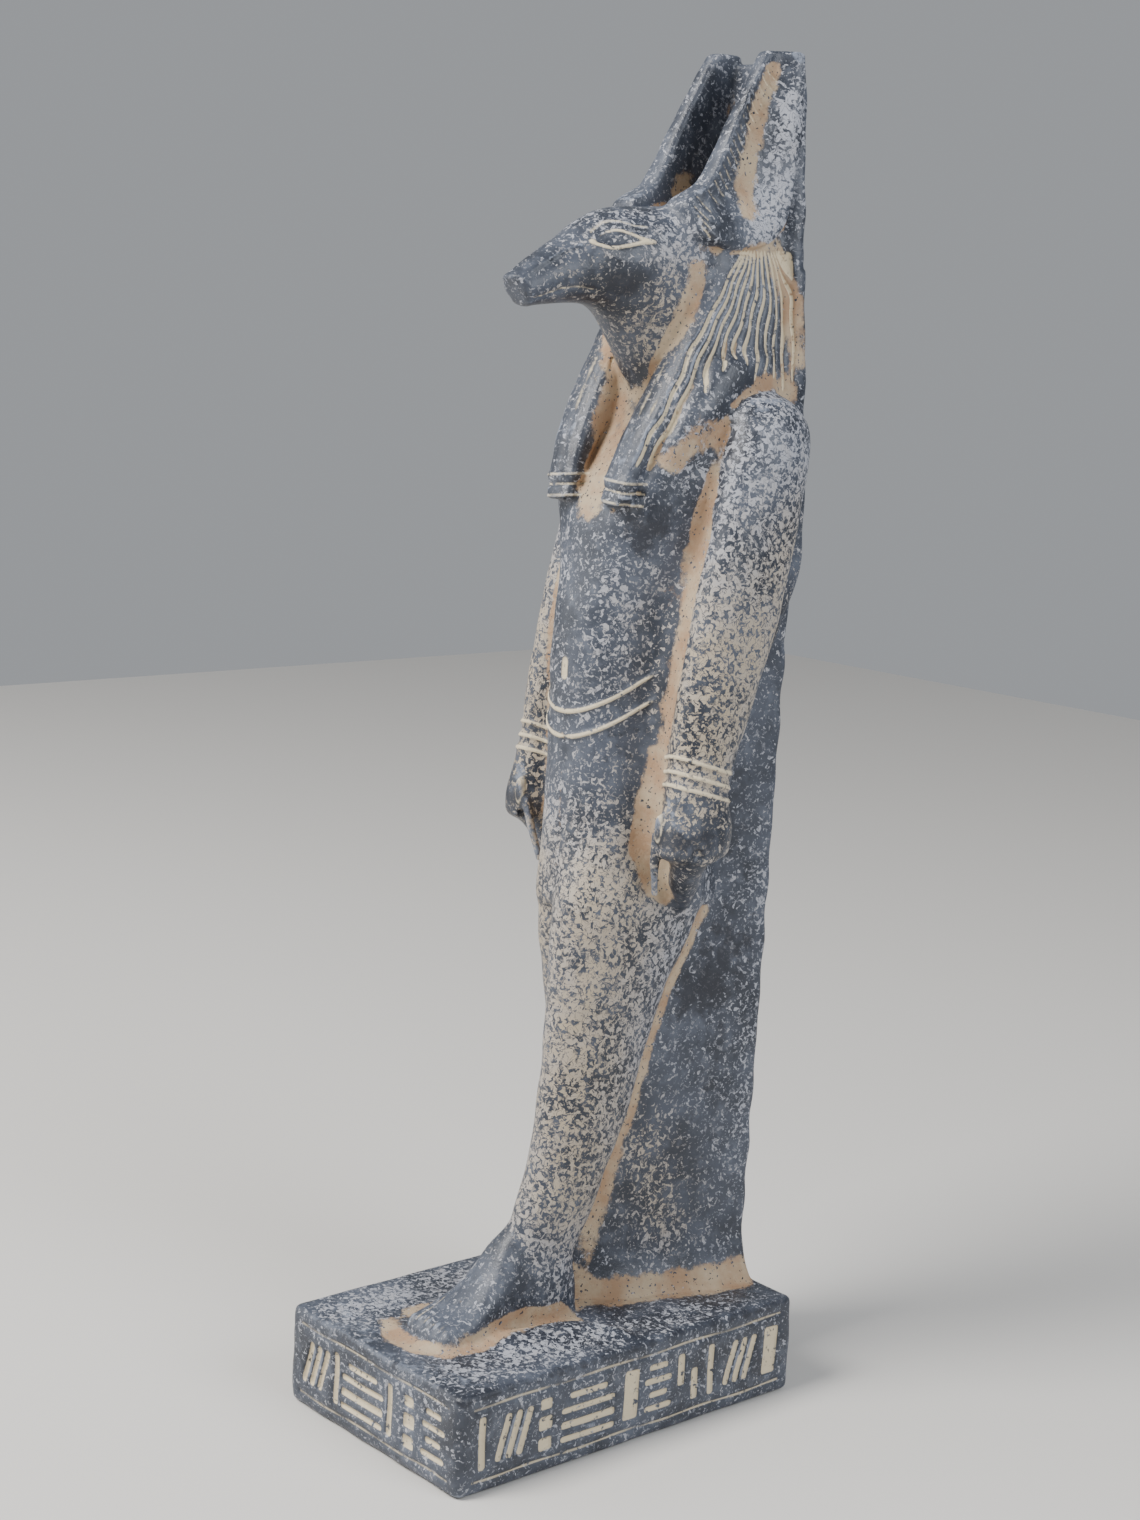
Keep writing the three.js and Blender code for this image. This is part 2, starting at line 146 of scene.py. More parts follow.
class Form:
    # Rows: place along the axis, centre (two), half sizes (two), squareness of the oval.
    # Angle 0 is the figure's left, a quarter turn is its front, or the top of a form along y.
    def __init__(self, axis, rows):
        self.axis = axis
        self.rows = rows
        self.start, self.end = rows[0][0], rows[-1][0]

    def at(self, place, angle):
        _, c1, c2, h1, h2, square = between(self.rows, place)[0]
        arc = lambda v: math.copysign(abs(v) ** (2 / square), v)
        p = c1 + h1 * arc(math.cos(angle))
        q = h2 * arc(math.sin(angle))
        return (p, c2 - q, place) if self.axis == "z" else (p, place, c2 + q)

    def box(self, margin):
        rows = np.array(self.rows)
        sides = []
        for centre, half in ((rows[:, 1], rows[:, 3]), (rows[:, 2], rows[:, 4])):
            sides.append(((centre - half).min() - margin, (centre + half).max() + margin))
        run = (self.start - margin, self.end + margin)
        spans = [*sides, run] if self.axis == "z" else [sides[0], run, sides[1]]
        return [s[0] for s in spans], [s[1] for s in spans]

    def distance(self, x, y, z, flip=1, round=1.5):
        along, across = (z, y) if self.axis == "z" else (y, z)
        rows = between(self.rows, along.ravel()).astype(np.float32)
        _, c1, c2, h1, h2, square = [rows[:, k].reshape(along.shape) for k in range(6)]
        a = np.abs(flip * x - c1) / h1 + 1e-4
        b = np.abs(across - c2) / h2 + 1e-4
        total = (a ** square + b ** square) ** (1 / square)
        slope = total ** (1 - square) * np.hypot(a ** (square - 1) / h1, b ** (square - 1) / h2)
        ends = np.maximum(self.start - along, along - self.end)
        return smoothHigh((total - 1) / slope, ends, round)

    def joinTo(self, block, blend, flip=1, round=1.5, fill=None):
        # fill gives the width of the filled crease where it changes from place to place
        low, high = self.box(blend + 2)
        if flip < 0:
            low[0], high[0] = -high[0], -low[0]
        cuts, x, y, z = block.area(low, high)
        block.join(cuts, self.distance(x, y, z, flip, round), blend if fill is None else fill(x, y, z))


def softLine(u, v, points, width):
    # a map of one soft line through points on a flat grid: 1 on the line, falling off over its width
    best = np.full(np.broadcast(u, v).shape, 1e6, np.float32)
    for (u0, v0), (u1, v1) in zip(points, points[1:]):
        du, dv = u1 - u0, v1 - v0
        t = np.clip(((u - u0) * du + (v - v0) * dv) / (du * du + dv * dv), 0, 1)
        best = np.minimum(best, (u - u0 - t * du) ** 2 + (v - v0 - t * dv) ** 2)
    return np.exp(-best / width ** 2)


def lineInSpace(block, points, width, rise):
    # a raised line (or a groove, with a negative rise) along points that lie on the surface
    points = np.array(points, float)
    reach = 2.5 * width
    cuts, x, y, z = block.area(points.min(0) - reach, points.max(0) + reach)
    best = np.full(np.broadcast(x, y, z).shape, 1e6, np.float32)
    for p, q in zip(points, points[1:]):
        d = q - p
        t = np.clip(((x - p[0]) * d[0] + (y - p[1]) * d[1] + (z - p[2]) * d[2]) / (d @ d), 0, 1)
        gap = (x - p[0] - t * d[0]) ** 2 + (y - p[1] - t * d[1]) ** 2 + (z - p[2] - t * d[2]) ** 2
        best = np.minimum(best, gap)
    block.etch(cuts, rise * np.exp(-best / width ** 2))


def capsule(block, points, blend):
    # a rounded rod through points, each with its own radius as a fourth number
    points = np.array(points, float)
    reach = points[:, 3].max() + blend + 2
    cuts, x, y, z = block.area(points[:, :3].min(0) - reach, points[:, :3].max(0) + reach)
    best = np.full(np.broadcast(x, y, z).shape, 9, np.float32)
    for p, q in zip(points, points[1:]):
        d = q[:3] - p[:3]
        t = np.clip(((x - p[0]) * d[0] + (y - p[1]) * d[1] + (z - p[2]) * d[2]) / (d @ d), 0, 1)
        gap = (x - p[0] - t * d[0]) ** 2 + (y - p[1] - t * d[1]) ** 2 + (z - p[2] - t * d[2]) ** 2
        best = np.minimum(best, np.sqrt(gap) - mix(p[3], q[3], t))
    block.join(cuts, best, blend)


def chip(block, place, sizes):
    # a small break: an oval scoop with an uneven edge
    low = [p - s - 1 for p, s in zip(place, sizes)]
    high = [p + s + 1 for p, s in zip(place, sizes)]
    cuts, x, y, z = block.area(low, high)
    total = sum(((axis - middle) / size) ** 2 for axis, middle, size in zip((x, y, z), place, sizes))
    uneven = 0.16 * np.sin(2.3 * x + 1.7 * z) * np.sin(1.9 * y - 2.6 * z)
    block.cut(cuts, (np.sqrt(total) - 1 + uneven) * min(sizes), 0.3)


def curve(points, count):
    # points spaced along a smooth line through a few given ones
    rows = [[k, *p] for k, p in enumerate(points)]
    return [tuple(v[1:]) for v in between(rows, np.linspace(0, len(points) - 1, count))]


# Plinth

plinth = {
    "corner": 2.1,
    "insets": [[0, 0.9], [1, 0.15], [8, 0], [17.2, 0.15], [18.5, 0.4], [19, 0.9]],
    "lines": (2.7, 16.1),    # heights of the frame lines
    "strokeDepth": 0.7,
    # y and x along the low ridge
    "crest": [[-24, 8.2], [-20, 8.9], [-13, 10.3], [-4.8, 12.3], [-1, 15.4], [1.6, 18.8]],
}

# Plain strokes in rows: across, up, width and height as shares of the row's height, and slant
strokeKinds = {
    "bar": [(0, 0.5, 0.13, 0.9, 0)],
    "wide": [(0, 0.5, 0.32, 0.86, 0.05)],
    "slants": [(-0.26, 0.5, 0.12, 0.8, 0.3), (0.02, 0.5, 0.12, 0.8, 0.3), (0.3, 0.5, 0.12, 0.8, 0.3)],
    "stack": [(0, 0.1, 1.15, 0.1, 0), (0, 0.34, 1.15, 0.13, 0), (0, 0.6, 1.15, 0.1, 0), (0, 0.84, 0.8, 0.1, 0)],
    "dashes": [(0, 0.14, 0.6, 0.1, 0), (0, 0.38, 0.4, 0.1, 0), (0, 0.62, 0.6, 0.1, 0), (0, 0.86, 0.4, 0.1, 0)],
    "pair": [(-0.2, 0.66, 0.15, 0.56, 0), (0.2, 0.34, 0.15, 0.56, 0)],
    "dots": [(0, 0.14, 0.28, 0.22, 0), (0, 0.5, 0.28, 0.24, 0), (0, 0.84, 0.24, 0.18, 0)],
}
longRow = [("bar", -0.96), ("slants", -0.77), ("dots", -0.57), ("stack", -0.3), ("wide", -0.02), ("dashes", 0.16),
           ("pair", 0.36), ("bar", 0.52), ("slants", 0.72), ("wide", 0.94)]
shortRow = [("slants", -0.8), ("bar", -0.5), ("stack", -0.14), ("bar", 0.24), ("dots", 0.5), ("dashes", 0.82)]


def strokeMap(u, v, row, along):
    # how deep the marks are sunk, on a face with u along it and v up
    bottom, top = plinth["lines"]
    reach, base = top - bottom - 2.6, bottom + 1.3
    depth = np.zeros(np.broadcast(u, v).shape, np.float32)
    for kind, place in row:
        for across, up, wide, tall, slant in strokeKinds[kind]:
            du, dv = u - place * along - across * reach * 0.8, v - base - up * reach
            du, dv = du * math.cos(slant) - dv * math.sin(slant), du * math.sin(slant) + dv * math.cos(slant)
            outside = np.hypot(np.maximum(np.abs(du) - wide * reach / 2 + 0.4, 0),
                               np.maximum(np.abs(dv) - tall * reach / 2 + 0.4, 0)) - 0.4
            depth = np.maximum(depth, plinth["strokeDepth"] * ease(0.5 - outside / 0.5))
    for height in plinth["lines"]:
        line = np.abs(v - height - 0.15 * np.sin(u * 0.31 + height))
        line = line + 10 * np.maximum(np.abs(u) - along - 0.8, 0)
        depth = np.maximum(depth, 0.42 * ease(1.2 - line / 0.5))
    return depth


def carvePlinth(block):
    top = statue["plinthHeight"]
    halfX, halfY = statue["halfWidth"], statue["halfLength"]
    cuts, x, y, z = block.area((-halfX - 2, -halfY - 2, -2), (halfX + 2, halfY + 2, top + 6))
    inset = between(plinth["insets"], z.ravel())[:, 1].reshape(z.shape).astype(np.float32)
    # the plinth's sides are worn unevenly; this value only moves the surface
    wearAndHighlight = 0.12 * np.sin(y * 0.33 + 1) + 0.1 * np.sin(z * 0.6 + y * 0.12) + 0.08 * np.sin(x * 0.5)
    inset = inset + np.maximum(wearAndHighlight, 0) * 0.9
    corner = plinth["corner"]
    outX, outY = np.abs(x) - halfX + corner, np.abs(y) - halfY + corner
    side = np.hypot(np.maximum(outX, 0), np.maximum(outY, 0)) + np.minimum(np.maximum(outX, outY), 0) - corner
    # the top is left uneven, with a low ridge beside the foot that drops to a hollow behind it
    crest = between(plinth["crest"], y.ravel())[:, 1].reshape(y.shape)
    off = (x - crest) * 0.85
    ridge = np.exp(-(off / np.where(off > 0, 5.5, 1.6)) ** 2)
    ridge = ridge * ease((y + 25) / 8) * ease((3.5 - y) / 4)
    mound = 1.25 * ridge - 0.5 * np.exp(-((off + 3.5) / 3) ** 2 - ((y + 9) / 9) ** 2)
    mound = mound + 0.22 * np.sin(x * 0.31 + 0.4) * np.sin(y * 0.23 + 1.1)
    mound = mound - 0.45 * np.exp(-((x - 1) / 8) ** 2 - ((y + 34) / 4) ** 2)
    surface = z - top - mound * ease((halfX - 1 - np.abs(x)) / 4)
    block.join(cuts, smoothHigh(smoothHigh(side + inset, surface, 0.9), -z, 0.8), 0.5)
    facing = ease((3 - np.abs(side)) / 1)
    for sign in (1, -1):
        sunk = strokeMap(sign * y[0], z[0], longRow, halfY - 4)[None]
        block.etch(cuts, -sunk * facing * (sign * x > halfX - 2.5))
        sunk = strokeMap(sign * x[:, :, 0], z[:, 0], shortRow, halfX - 4)[:, None]
        block.etch(cuts, -sunk * facing * (sign * -y > halfY - 2.5))
    print("plinth carved")


# Back pillar, with the web that narrows forward between the legs

pillar = {
    "rows": [   # height, half width at the back, half width at the front, front end
        [17, 12.2, 1.6, 1.5], [60, 13.2, 2.4, 4], [100, 14, 4, 10], [150, 14.6, 8, 18],
        [190, 15.2, 10, 26], [215, 13, 9, 33], [247, 10.8, 8, 36.5],
    ],
    "flare": 4.5,
}


def carvePillar(block):
    top = statue["height"] - 2
    back = statue["backPlane"]
    cuts, x, y, z = block.area((-21, -4, 15), (21, back + 2, top + 3))
    rows = between(pillar["rows"], z.ravel()).astype(np.float32)
    wide, narrow, start = [rows[:, k].reshape(z.shape) for k in (1, 2, 3)]
    rise = np.maximum(0, 1 - (z - statue["plinthHeight"] + 1) / 13)
    out = pillar["flare"] * rise ** 2.5 * ease((y - start) / 12)
    lean = (wide - narrow) / (back - 1.5 - start)
    side = (np.abs(x) - out - narrow - np.maximum(y - start, 0) * lean) / np.sqrt(1 + lean * lean)
    side = smoothHigh(side, np.abs(x) - wide - out, 1.5)
    web = smoothHigh(side, y - back, 1.6)
    web = smoothHigh(web, start - y, 2)
    block.join(cuts, smoothHigh(smoothHigh(web, z - top, 1), 16 - z, 1), 5)
    print("pillar carved")


# Legs and feet

# Rows of a foot: share of the reach in front of the heel, height, half width, half height, squareness
footShares = [
    (1, 20, 5.6, 1, 2.8), (0.95, 20.2, 6.3, 1.9, 2.6), (0.8, 21, 6.4, 3.1, 2.4), (0.62, 22.6, 5.8, 6, 2.2),
    (0.42, 25, 5.1, 11, 2.1), (0.2, 25, 5, 10, 2.1), (0, 23, 4.2, 6.2, 2.1), (-0.07, 22, 2.2, 3.6, 2),
]


def footRows(toeX, heelX, heel, reach):
    return [[heel - share * reach, mix(heelX, toeX, share), z, wide, tall, square]
            for share, z, wide, tall, square in footShares]


limbs = {
    "leftLeg": Form("z", [
        [18, 2.5, -6, 5, 6, 2],
        [30, 3, -5, 5, 7.2, 2],
        [39, 3.8, -2.8, 5.4, 9, 2],
        [46, 4.2, -0.6, 5.8, 8.9, 2],
        [58, 4.6, 2.6, 6.3, 10.4, 2],
        [69, 4.8, 4.6, 6.8, 11.5, 2],
        [81, 5, 7, 7.4, 13.4, 2.1],
        [95, 5.2, 11.2, 8.2, 17.2, 2.2],
        [103, 5, 12.2, 7.2, 15.8, 2.2],
        [114, 4, 13, 4, 10, 2.2],
    ]),
    "rightLeg": Form("z", [
        [18, -8, 15, 5, 7, 2],
        [30, -8, 14.5, 5, 6.5, 2],
        [46, -7.8, 14, 5.6, 8, 2],
        [69, -7, 14, 6.3, 10, 2],
        [95, -5, 14, 7.5, 15, 2.2],
        [110, -4, 13, 5, 12, 2.2],
    ]),
    "leftFoot": Form("y", footRows(1.6, 3.4, 0, 30.6)),
    "rightFoot": Form("y", footRows(-10.2, -8, 23.5, 28)),
}
toes = {"gaps": (-0.6, -0.22, 0.14, 0.5), "length": 7.4, "width": 0.42, "depth": 0.85}


def carveLegs(block):
    limbs["rightLeg"].joinTo(block, 3)
    limbs["rightFoot"].joinTo(block, 3, round=2)
    limbs["leftLeg"].joinTo(block, 2.5)
    limbs["leftFoot"].joinTo(block, 2.5, round=2)
    for name in ("leftFoot", "rightFoot"):
        foot = limbs[name]
        x = foot.rows[0][1]
        for share in toes["gaps"]:
            across = x + share * 6.3
            gap = []
            for t in (0, 0.3, 0.6, 1):
                y = foot.start + 0.1 + toes["length"] * t
                _, c1, c2, h1, h2, square = between(foot.rows, y)[0]
                gap.append((across, y, c2 + h2 * max(0, 1 - abs((across - c1) / h1) ** square) ** (1 / square)))
            gap.insert(0, (across, foot.start - 0.6, statue["plinthHeight"] + 0.6))
            lineInSpace(block, gap, toes["width"], -toes["depth"])
        for share in (-0.79, -0.41, -0.04, 0.32, 0.74):   # nails
            nail = (x + share * 6.2, foot.start + 1.5, 21.6 - abs(share) * 0.7)
            cuts, u, v, w = block.area([c - 2 for c in nail], [c + 2 for c in nail])
            round = ((u - nail[0]) / 0.8) ** 2 + ((v - nail[1]) / 1.1) ** 2 + ((w - nail[2]) / 1.6) ** 2
            block.etch(cuts, 0.22 * np.exp(-round ** 2))
    print("legs carved")


# Body, kilt and belt

torso = Form("z", [
    [96.1, 0.4, 14, 12.4, 16.2, 2.3],
    [107, 0, 13.4, 12, 16, 2.3],
    [131.2, -0.4, 12.5, 11.2, 15.1, 2.2],
    [138.7, -0.4, 12.5, 11.2, 15.3, 2.2],
    [149.4, -0.4, 13, 11.4, 15, 2.2],
    [156.9, 0, 13.8, 12.8, 14.5, 2.3],
    [166.8, 0, 15, 15, 14, 2.4],
    [181.8, 0, 21, 17, 11, 2.3],
    [190.5, 0, 25, 12, 9, 2.2],
])
kilt = {
    "beltHeight": 131.2, "beltGap": 4.6, "dip": 10, "lineWidth": 0.45, "rise": 0.5,
    "overlap": [(0.6, -2.9, 126), (1.2, -3, 118), (0.2, -3, 108), (-1.4, -3, 99)],
}


def carveBody(block):
    torso.joinTo(block, 3.5, round=2)
    # chest and belly
    for x, y, z, reach, rise in ((6, 3.5, 170, 6.5, 0.7), (-6, 3.5, 170, 6.5, 0.7), (0, -2, 146, 7, 0.4)):
        cuts, u, v, w = block.area([c - 2 * reach for c in (x, y, z)], [c + 2 * reach for c in (x, y, z)])
        gap = ((u - x) ** 2 + ((v - y) / 0.7) ** 2 + (w - z) ** 2) / reach ** 2
        block.raiseBy(cuts, rise * np.exp(-gap))
    # belt: two raised lines that dip at the front
    cuts, x, y, z = block.area((-12.5, -5, 118), (12.5, 14, 148))
    angle = np.arctan2((12.5 - y) / 15.2, (x + 0.4) / 11.2)
    dip = kilt["dip"] * (1 - np.clip(np.sin(angle), 0, 1))
    for drop in (0, kilt["beltGap"]):
        off = (z - kilt["beltHeight"] + drop - dip) / kilt["lineWidth"]
        block.etch(cuts, kilt["rise"] * np.exp(-off ** 2) * ease((9.6 - y) / 3))
    # the sunk strip beside the kilt's overlap, and the overlap's edge
    lineInSpace(block, curve(kilt["overlap"], 12), 0.7, -0.55)
    lineInSpace(block, [(-0.6, -3, 140.2), (-0.6, -3, 137.6)], 0.9, -1.1)   # navel
    print("body carved")


# Arms, with bracelets, fists and the cloth each one holds

arm = Form("z", [
    [107, 21.2, 10.8, 4.6, 6.2, 2.8],
    [108.5, 21.3, 10.8, 4.9, 6.8, 2.7],
    [112.5, 21.3, 11, 5.1, 7, 2.5],
    [118, 21, 11.4, 4.6, 6.2, 2.2],
    [124, 20.7, 12.2, 4.5, 6.3, 2.1],
    [131.2, 20.5, 14.2, 5, 7.8, 2.1],
    [149.4, 20.2, 19, 5.4, 9.6, 2.1],
    [166.8, 19.6, 23, 6, 9.4, 2.1],
    [177.8, 19, 25.2, 6.6, 9.2, 2.1],
    [182.8, 18.4, 26, 6.3, 8.5, 2.1],
    [185.8, 17.9, 26, 5.3, 7.2, 2],
    [187.8, 17.3, 26, 3.8, 5.2, 2],
    [189, 16.8, 26, 1.6, 2.4, 2],
])
armWeb = [   # height, front, back, reach outward
    [95, 15, 21, 12], [104, 10, 21, 16], [110, 8, 20, 19],
    [131.2, 8.5, 26, 19], [149.4, 10, 34, 19], [156.9, 12, 37, 19], [181.8, 20, 37, 19],
]
fist = {
    "bracelets": (118.6, 121, 123.6), "tilt": 1.9, "rise": 0.45, "lineWidth": 0.42,
    "cloth": [(18.2, 4.7, 111, 0.9), (17.2, 5.4, 106, 1), (16.2, 6.8, 100, 0.7)],
    "rough": [(21.4, 10.2, 108.2, 3.9), (18, 12.4, 101.5, 2.7), (15, 15, 97, 1.5)],   # stone left under it
}
shoulderSlope = Form("z", [
    [168, 9.6, 5.6, 1.6, 1.6, 2],
    [172, 10.2, 7, 2.6, 2.6, 2],
    [177, 11, 9, 3.6, 3.8, 2],
    [182, 12, 12, 4.4, 5, 2],
    [188, 12.5, 16.8, 4.8, 6.6, 2],
    [195, 13, 22, 3.2, 6.5, 2],
])


def carveArms(block):
    for side in (1, -1):
        cuts, x, y, z = block.area(*sorted(((side * 5, 4, 92), (side * 24, 40, 186))) if side > 0
                                   else ((-24, 4, 92), (-5, 40, 186)))
        rows = between(armWeb, z.ravel()).astype(np.float32)
        front, back, reach = [rows[:, k].reshape(z.shape) for k in (1, 2, 3)]
        web = smoothHigh(smoothHigh(front - y, y - back, 2), side * x - reach, 2)
        web = smoothHigh(web, 7 - side * x, 1)
        web = smoothHigh(web, np.maximum(94 - z, z - 184), 3)
        block.join(cuts, web, 3.5)
        shoulderSlope.joinTo(block, 4.5, flip=side, round=2)
        arm.joinTo(block, 1.4, flip=side, round=1.2)
        # bracelets
        cuts, x, y, z = block.area((12 if side > 0 else -28, 2, 114), (28 if side > 0 else -12, 22, 128))
        angle = np.arctan2((12 - y) / 6.3, (side * x - 20.8) / 4.6)
        near = np.abs(arm.distance(x, y, z, side)) < 1.5
        for height in fist["bracelets"]:
            off = (z - height - fist["tilt"] * np.sin(angle)) / fist["lineWidth"]
            block.etch(cuts, np.where(near, fist["rise"] * np.exp(-off ** 2), 0))
        # the rough stone below the fist, the cloth's end beside it, and the thumb over its front
        capsule(block, [(side * p[0], *p[1:]) for p in fist["rough"]], 2)
        capsule(block, [(side * p[0], *p[1:]) for p in fist["cloth"]], 0.8)
        cuts, x, y, z = block.area((14 if side > 0 else -24, 0, 106), (24 if side > 0 else -14, 12, 120))
        thumb = np.sqrt(((side * x - 19.4) / 0.9) ** 2 + ((y - 4.4) / 1) ** 2 + ((z - 112.6) / 2.3) ** 2) - 1
        block.join(cuts, thumb, 0.3)
        ring = np.sqrt(((side * x - 19.4) / 0.9) ** 2 + ((z - 112.6) / 2.3) ** 2)
        block.etch(cuts, 0.3 * np.exp(-((ring - 1) / 0.35) ** 2) * ease((6.5 - y) / 1))
    print("arms carved")


# Head and neck

head = Form("y", [
    [-20.8, 0, 205.4, 2.6, 1.9, 2.3],
    [-18, 0, 205.2, 3.4, 3.2, 2.3],
    [-14, 0, 206.8, 4, 4.4, 2.2],
    [-9, 0, 208.5, 4.9, 5.8, 2.1],
    [-4, 0, 210.2, 6.6, 7.2, 2.1],
    [2, 0, 211.1, 9, 8.7, 2.1],
    [8, 0, 210.5, 10.5, 10, 2.1],
    [16, 0, 209, 11.5, 11.8, 2.1],
    [27, 0, 208, 11, 13, 2.1],
])
neck = Form("z", [
    [172, 0, 21, 8.5, 16, 2],
    [180, 0, 22, 8.5, 13, 2],
    [188, 0, 22, 9, 11.5, 2],
    [196, 0, 20, 9.5, 14, 2],
    [204, 0, 17, 9.8, 17, 2],
])
# Lines on the side of the face, seen from the side: y and z
face = {
    "nose": (-19.4, 206.4, 0.72),     # the blunt end of the snout: y and z of a point on it, and how it leans
    "upperLid": [(-5.7, 213.6), (-3.2, 215.2), (-1, 215.9), (1.1, 215.4), (3, 214.6), (5.2, 214.1)],
    "lowerLid": [(-5.7, 213.6), (-3.8, 213), (-1.8, 212.8), (0.8, 213.4), (3, 213.9), (5.2, 214.1)],
    "brow": [(-5, 215.2), (-3.6, 216.2), (-2, 217.1), (-0.1, 217.3), (2.1, 216.7), (4.6, 216.5)],
    "mouth": [(-17.4, 203.2), (-13.8, 204.4), (-10.8, 205.5), (-7.8, 205.9), (-4.4, 205.6)],
    "snoutCrease": [(-17.6, 207.6), (-13.1, 210.2), (-10.2, 211.7), (-7.4, 212.9), (-5.6, 213.5)],
    "cheekRidge": [(-7, 212.6), (-5, 212.1), (-2.7, 211.8), (-0.2, 210.6)],
}


def carveHead(block):
    neck.joinTo(block, 5, round=2)
    head.joinTo(block, 3.5, round=2.2)
    y0, z0, lean = face["nose"]
    cuts, x, y, z = block.area((-6, -24, 199), (6, -12, 211))
    block.cut(cuts, (y - y0 - lean * (z0 - z)) / math.hypot(1, lean), 0.7)
    for side in (1, -1):
        cuts, x, y, z = block.area((1.8 if side > 0 else -13, -20, 198), (13 if side > 0 else -1.8, 10, 222))
        u, v = y[0], z[0]
        away = ease((np.abs(x) - 1.8) / 1.2)
        form = -0.5 * np.exp(-((u + 0.2) / 6) ** 2 - ((v - 214.2) / 2.3) ** 2)     # eye socket
        form = form + 0.45 * np.exp(-((u + 0.4) / 2.8) ** 2 - ((v - 214.3) / 1.1) ** 2)    # eyeball
        # below its crease the side of the snout is hollowed
        crease = between(face["snoutCrease"], np.clip(u.ravel(), -17.6, -5.6))[:, 1].reshape(u.shape)
        drop = crease - v
        hollow = ease(drop / 0.5) * np.exp(-(np.maximum(drop, 0) / 2) ** 2)
        hollow = hollow * ease((u + 18.4) / 2) * ease((-4.6 - u) / 3)
        form = form - 0.6 * hollow
        form = form + 0.3 * softLine(u, v, curve(face["cheekRidge"], 8), 0.8)
        block.raiseBy(cuts, form[None] * away)
        shape = 0.45 * softLine(u, v, curve(face["upperLid"], 16), 0.36)
        shape = np.maximum(shape, 0.45 * softLine(u, v, curve(face["lowerLid"], 12), 0.36))
        shape += 0.3 * softLine(u, v, curve(face["brow"], 12), 0.42)
        shape -= 0.34 * softLine(u, v, [(y + 0.1, z - 0.85) for y, z in curve(face["brow"], 12)], 0.4)
        shape -= 0.45 * softLine(u, v, curve(face["mouth"], 14), 0.32)
        block.etch(cuts, shape[None] * away)
        nostril = [(2, -19.2, 206.4), (2.9, -18.4, 205.8), (3.2, -17.6, 204.6), (2.9, -17.2, 203.8)]
        lineInSpace(block, [(side * p[0], p[1], p[2]) for p in nostril], 0.4, -0.6)
    print("head carved")


# Wig, with its two lappets

wig = Form("z", [
    [181, 0, 28, 16.5, 11, 2.4],
    [188, 0, 27, 15.8, 12.6, 2.4],
    [196, 0, 27, 14.8, 13.4, 2.4],
    [205, 0, 27, 13.8, 12.9, 2.4],
    [213, 0, 27.5, 12.6, 12, 2.4],
    [219, 0, 28, 11, 10.6, 2.3],
])
lappet = Form("z", [
    [168.4, 7.4, 1.4, 3.5, 2.2, 3],
    [172, 7.5, 1.8, 3.4, 2.3, 3],
    [176, 7.9, 3.2, 3.6, 2.7, 3],
    [181, 8.6, 5.8, 4, 3.6, 2.8],
    [188, 9.4, 11.5, 4.5, 6, 2.6],
    [196, 9.8, 16.8, 4.4, 6.8, 2.5],
    [205, 9.8, 20.6, 3.8, 6.4, 2.5],
    [213, 9.5, 24, 3.1, 5.2, 2.4],
])
strands = {
    "count": 12,
    "front": [[169, -0.8], [175, -0.4], [181, 2], [188, 6], [196, 10.4], [203, 15], [209, 19.2], [213.5, 23]],
    "back": [[169, 38.5], [205, 38.5], [209, 36.5], [213.5, 33]],
    # y and the height where the grooves fade
    "ends": [[-1, 174], [5, 174.2], [9, 178], [13, 183], [18, 188], [25, 190.5], [39, 187]],
    "width": 0.36,
    "depth": 0.5,
    "swell": 0.26,         # how far each strand stands out between its grooves
    "bands": (169.2, 171.2, 173),
}


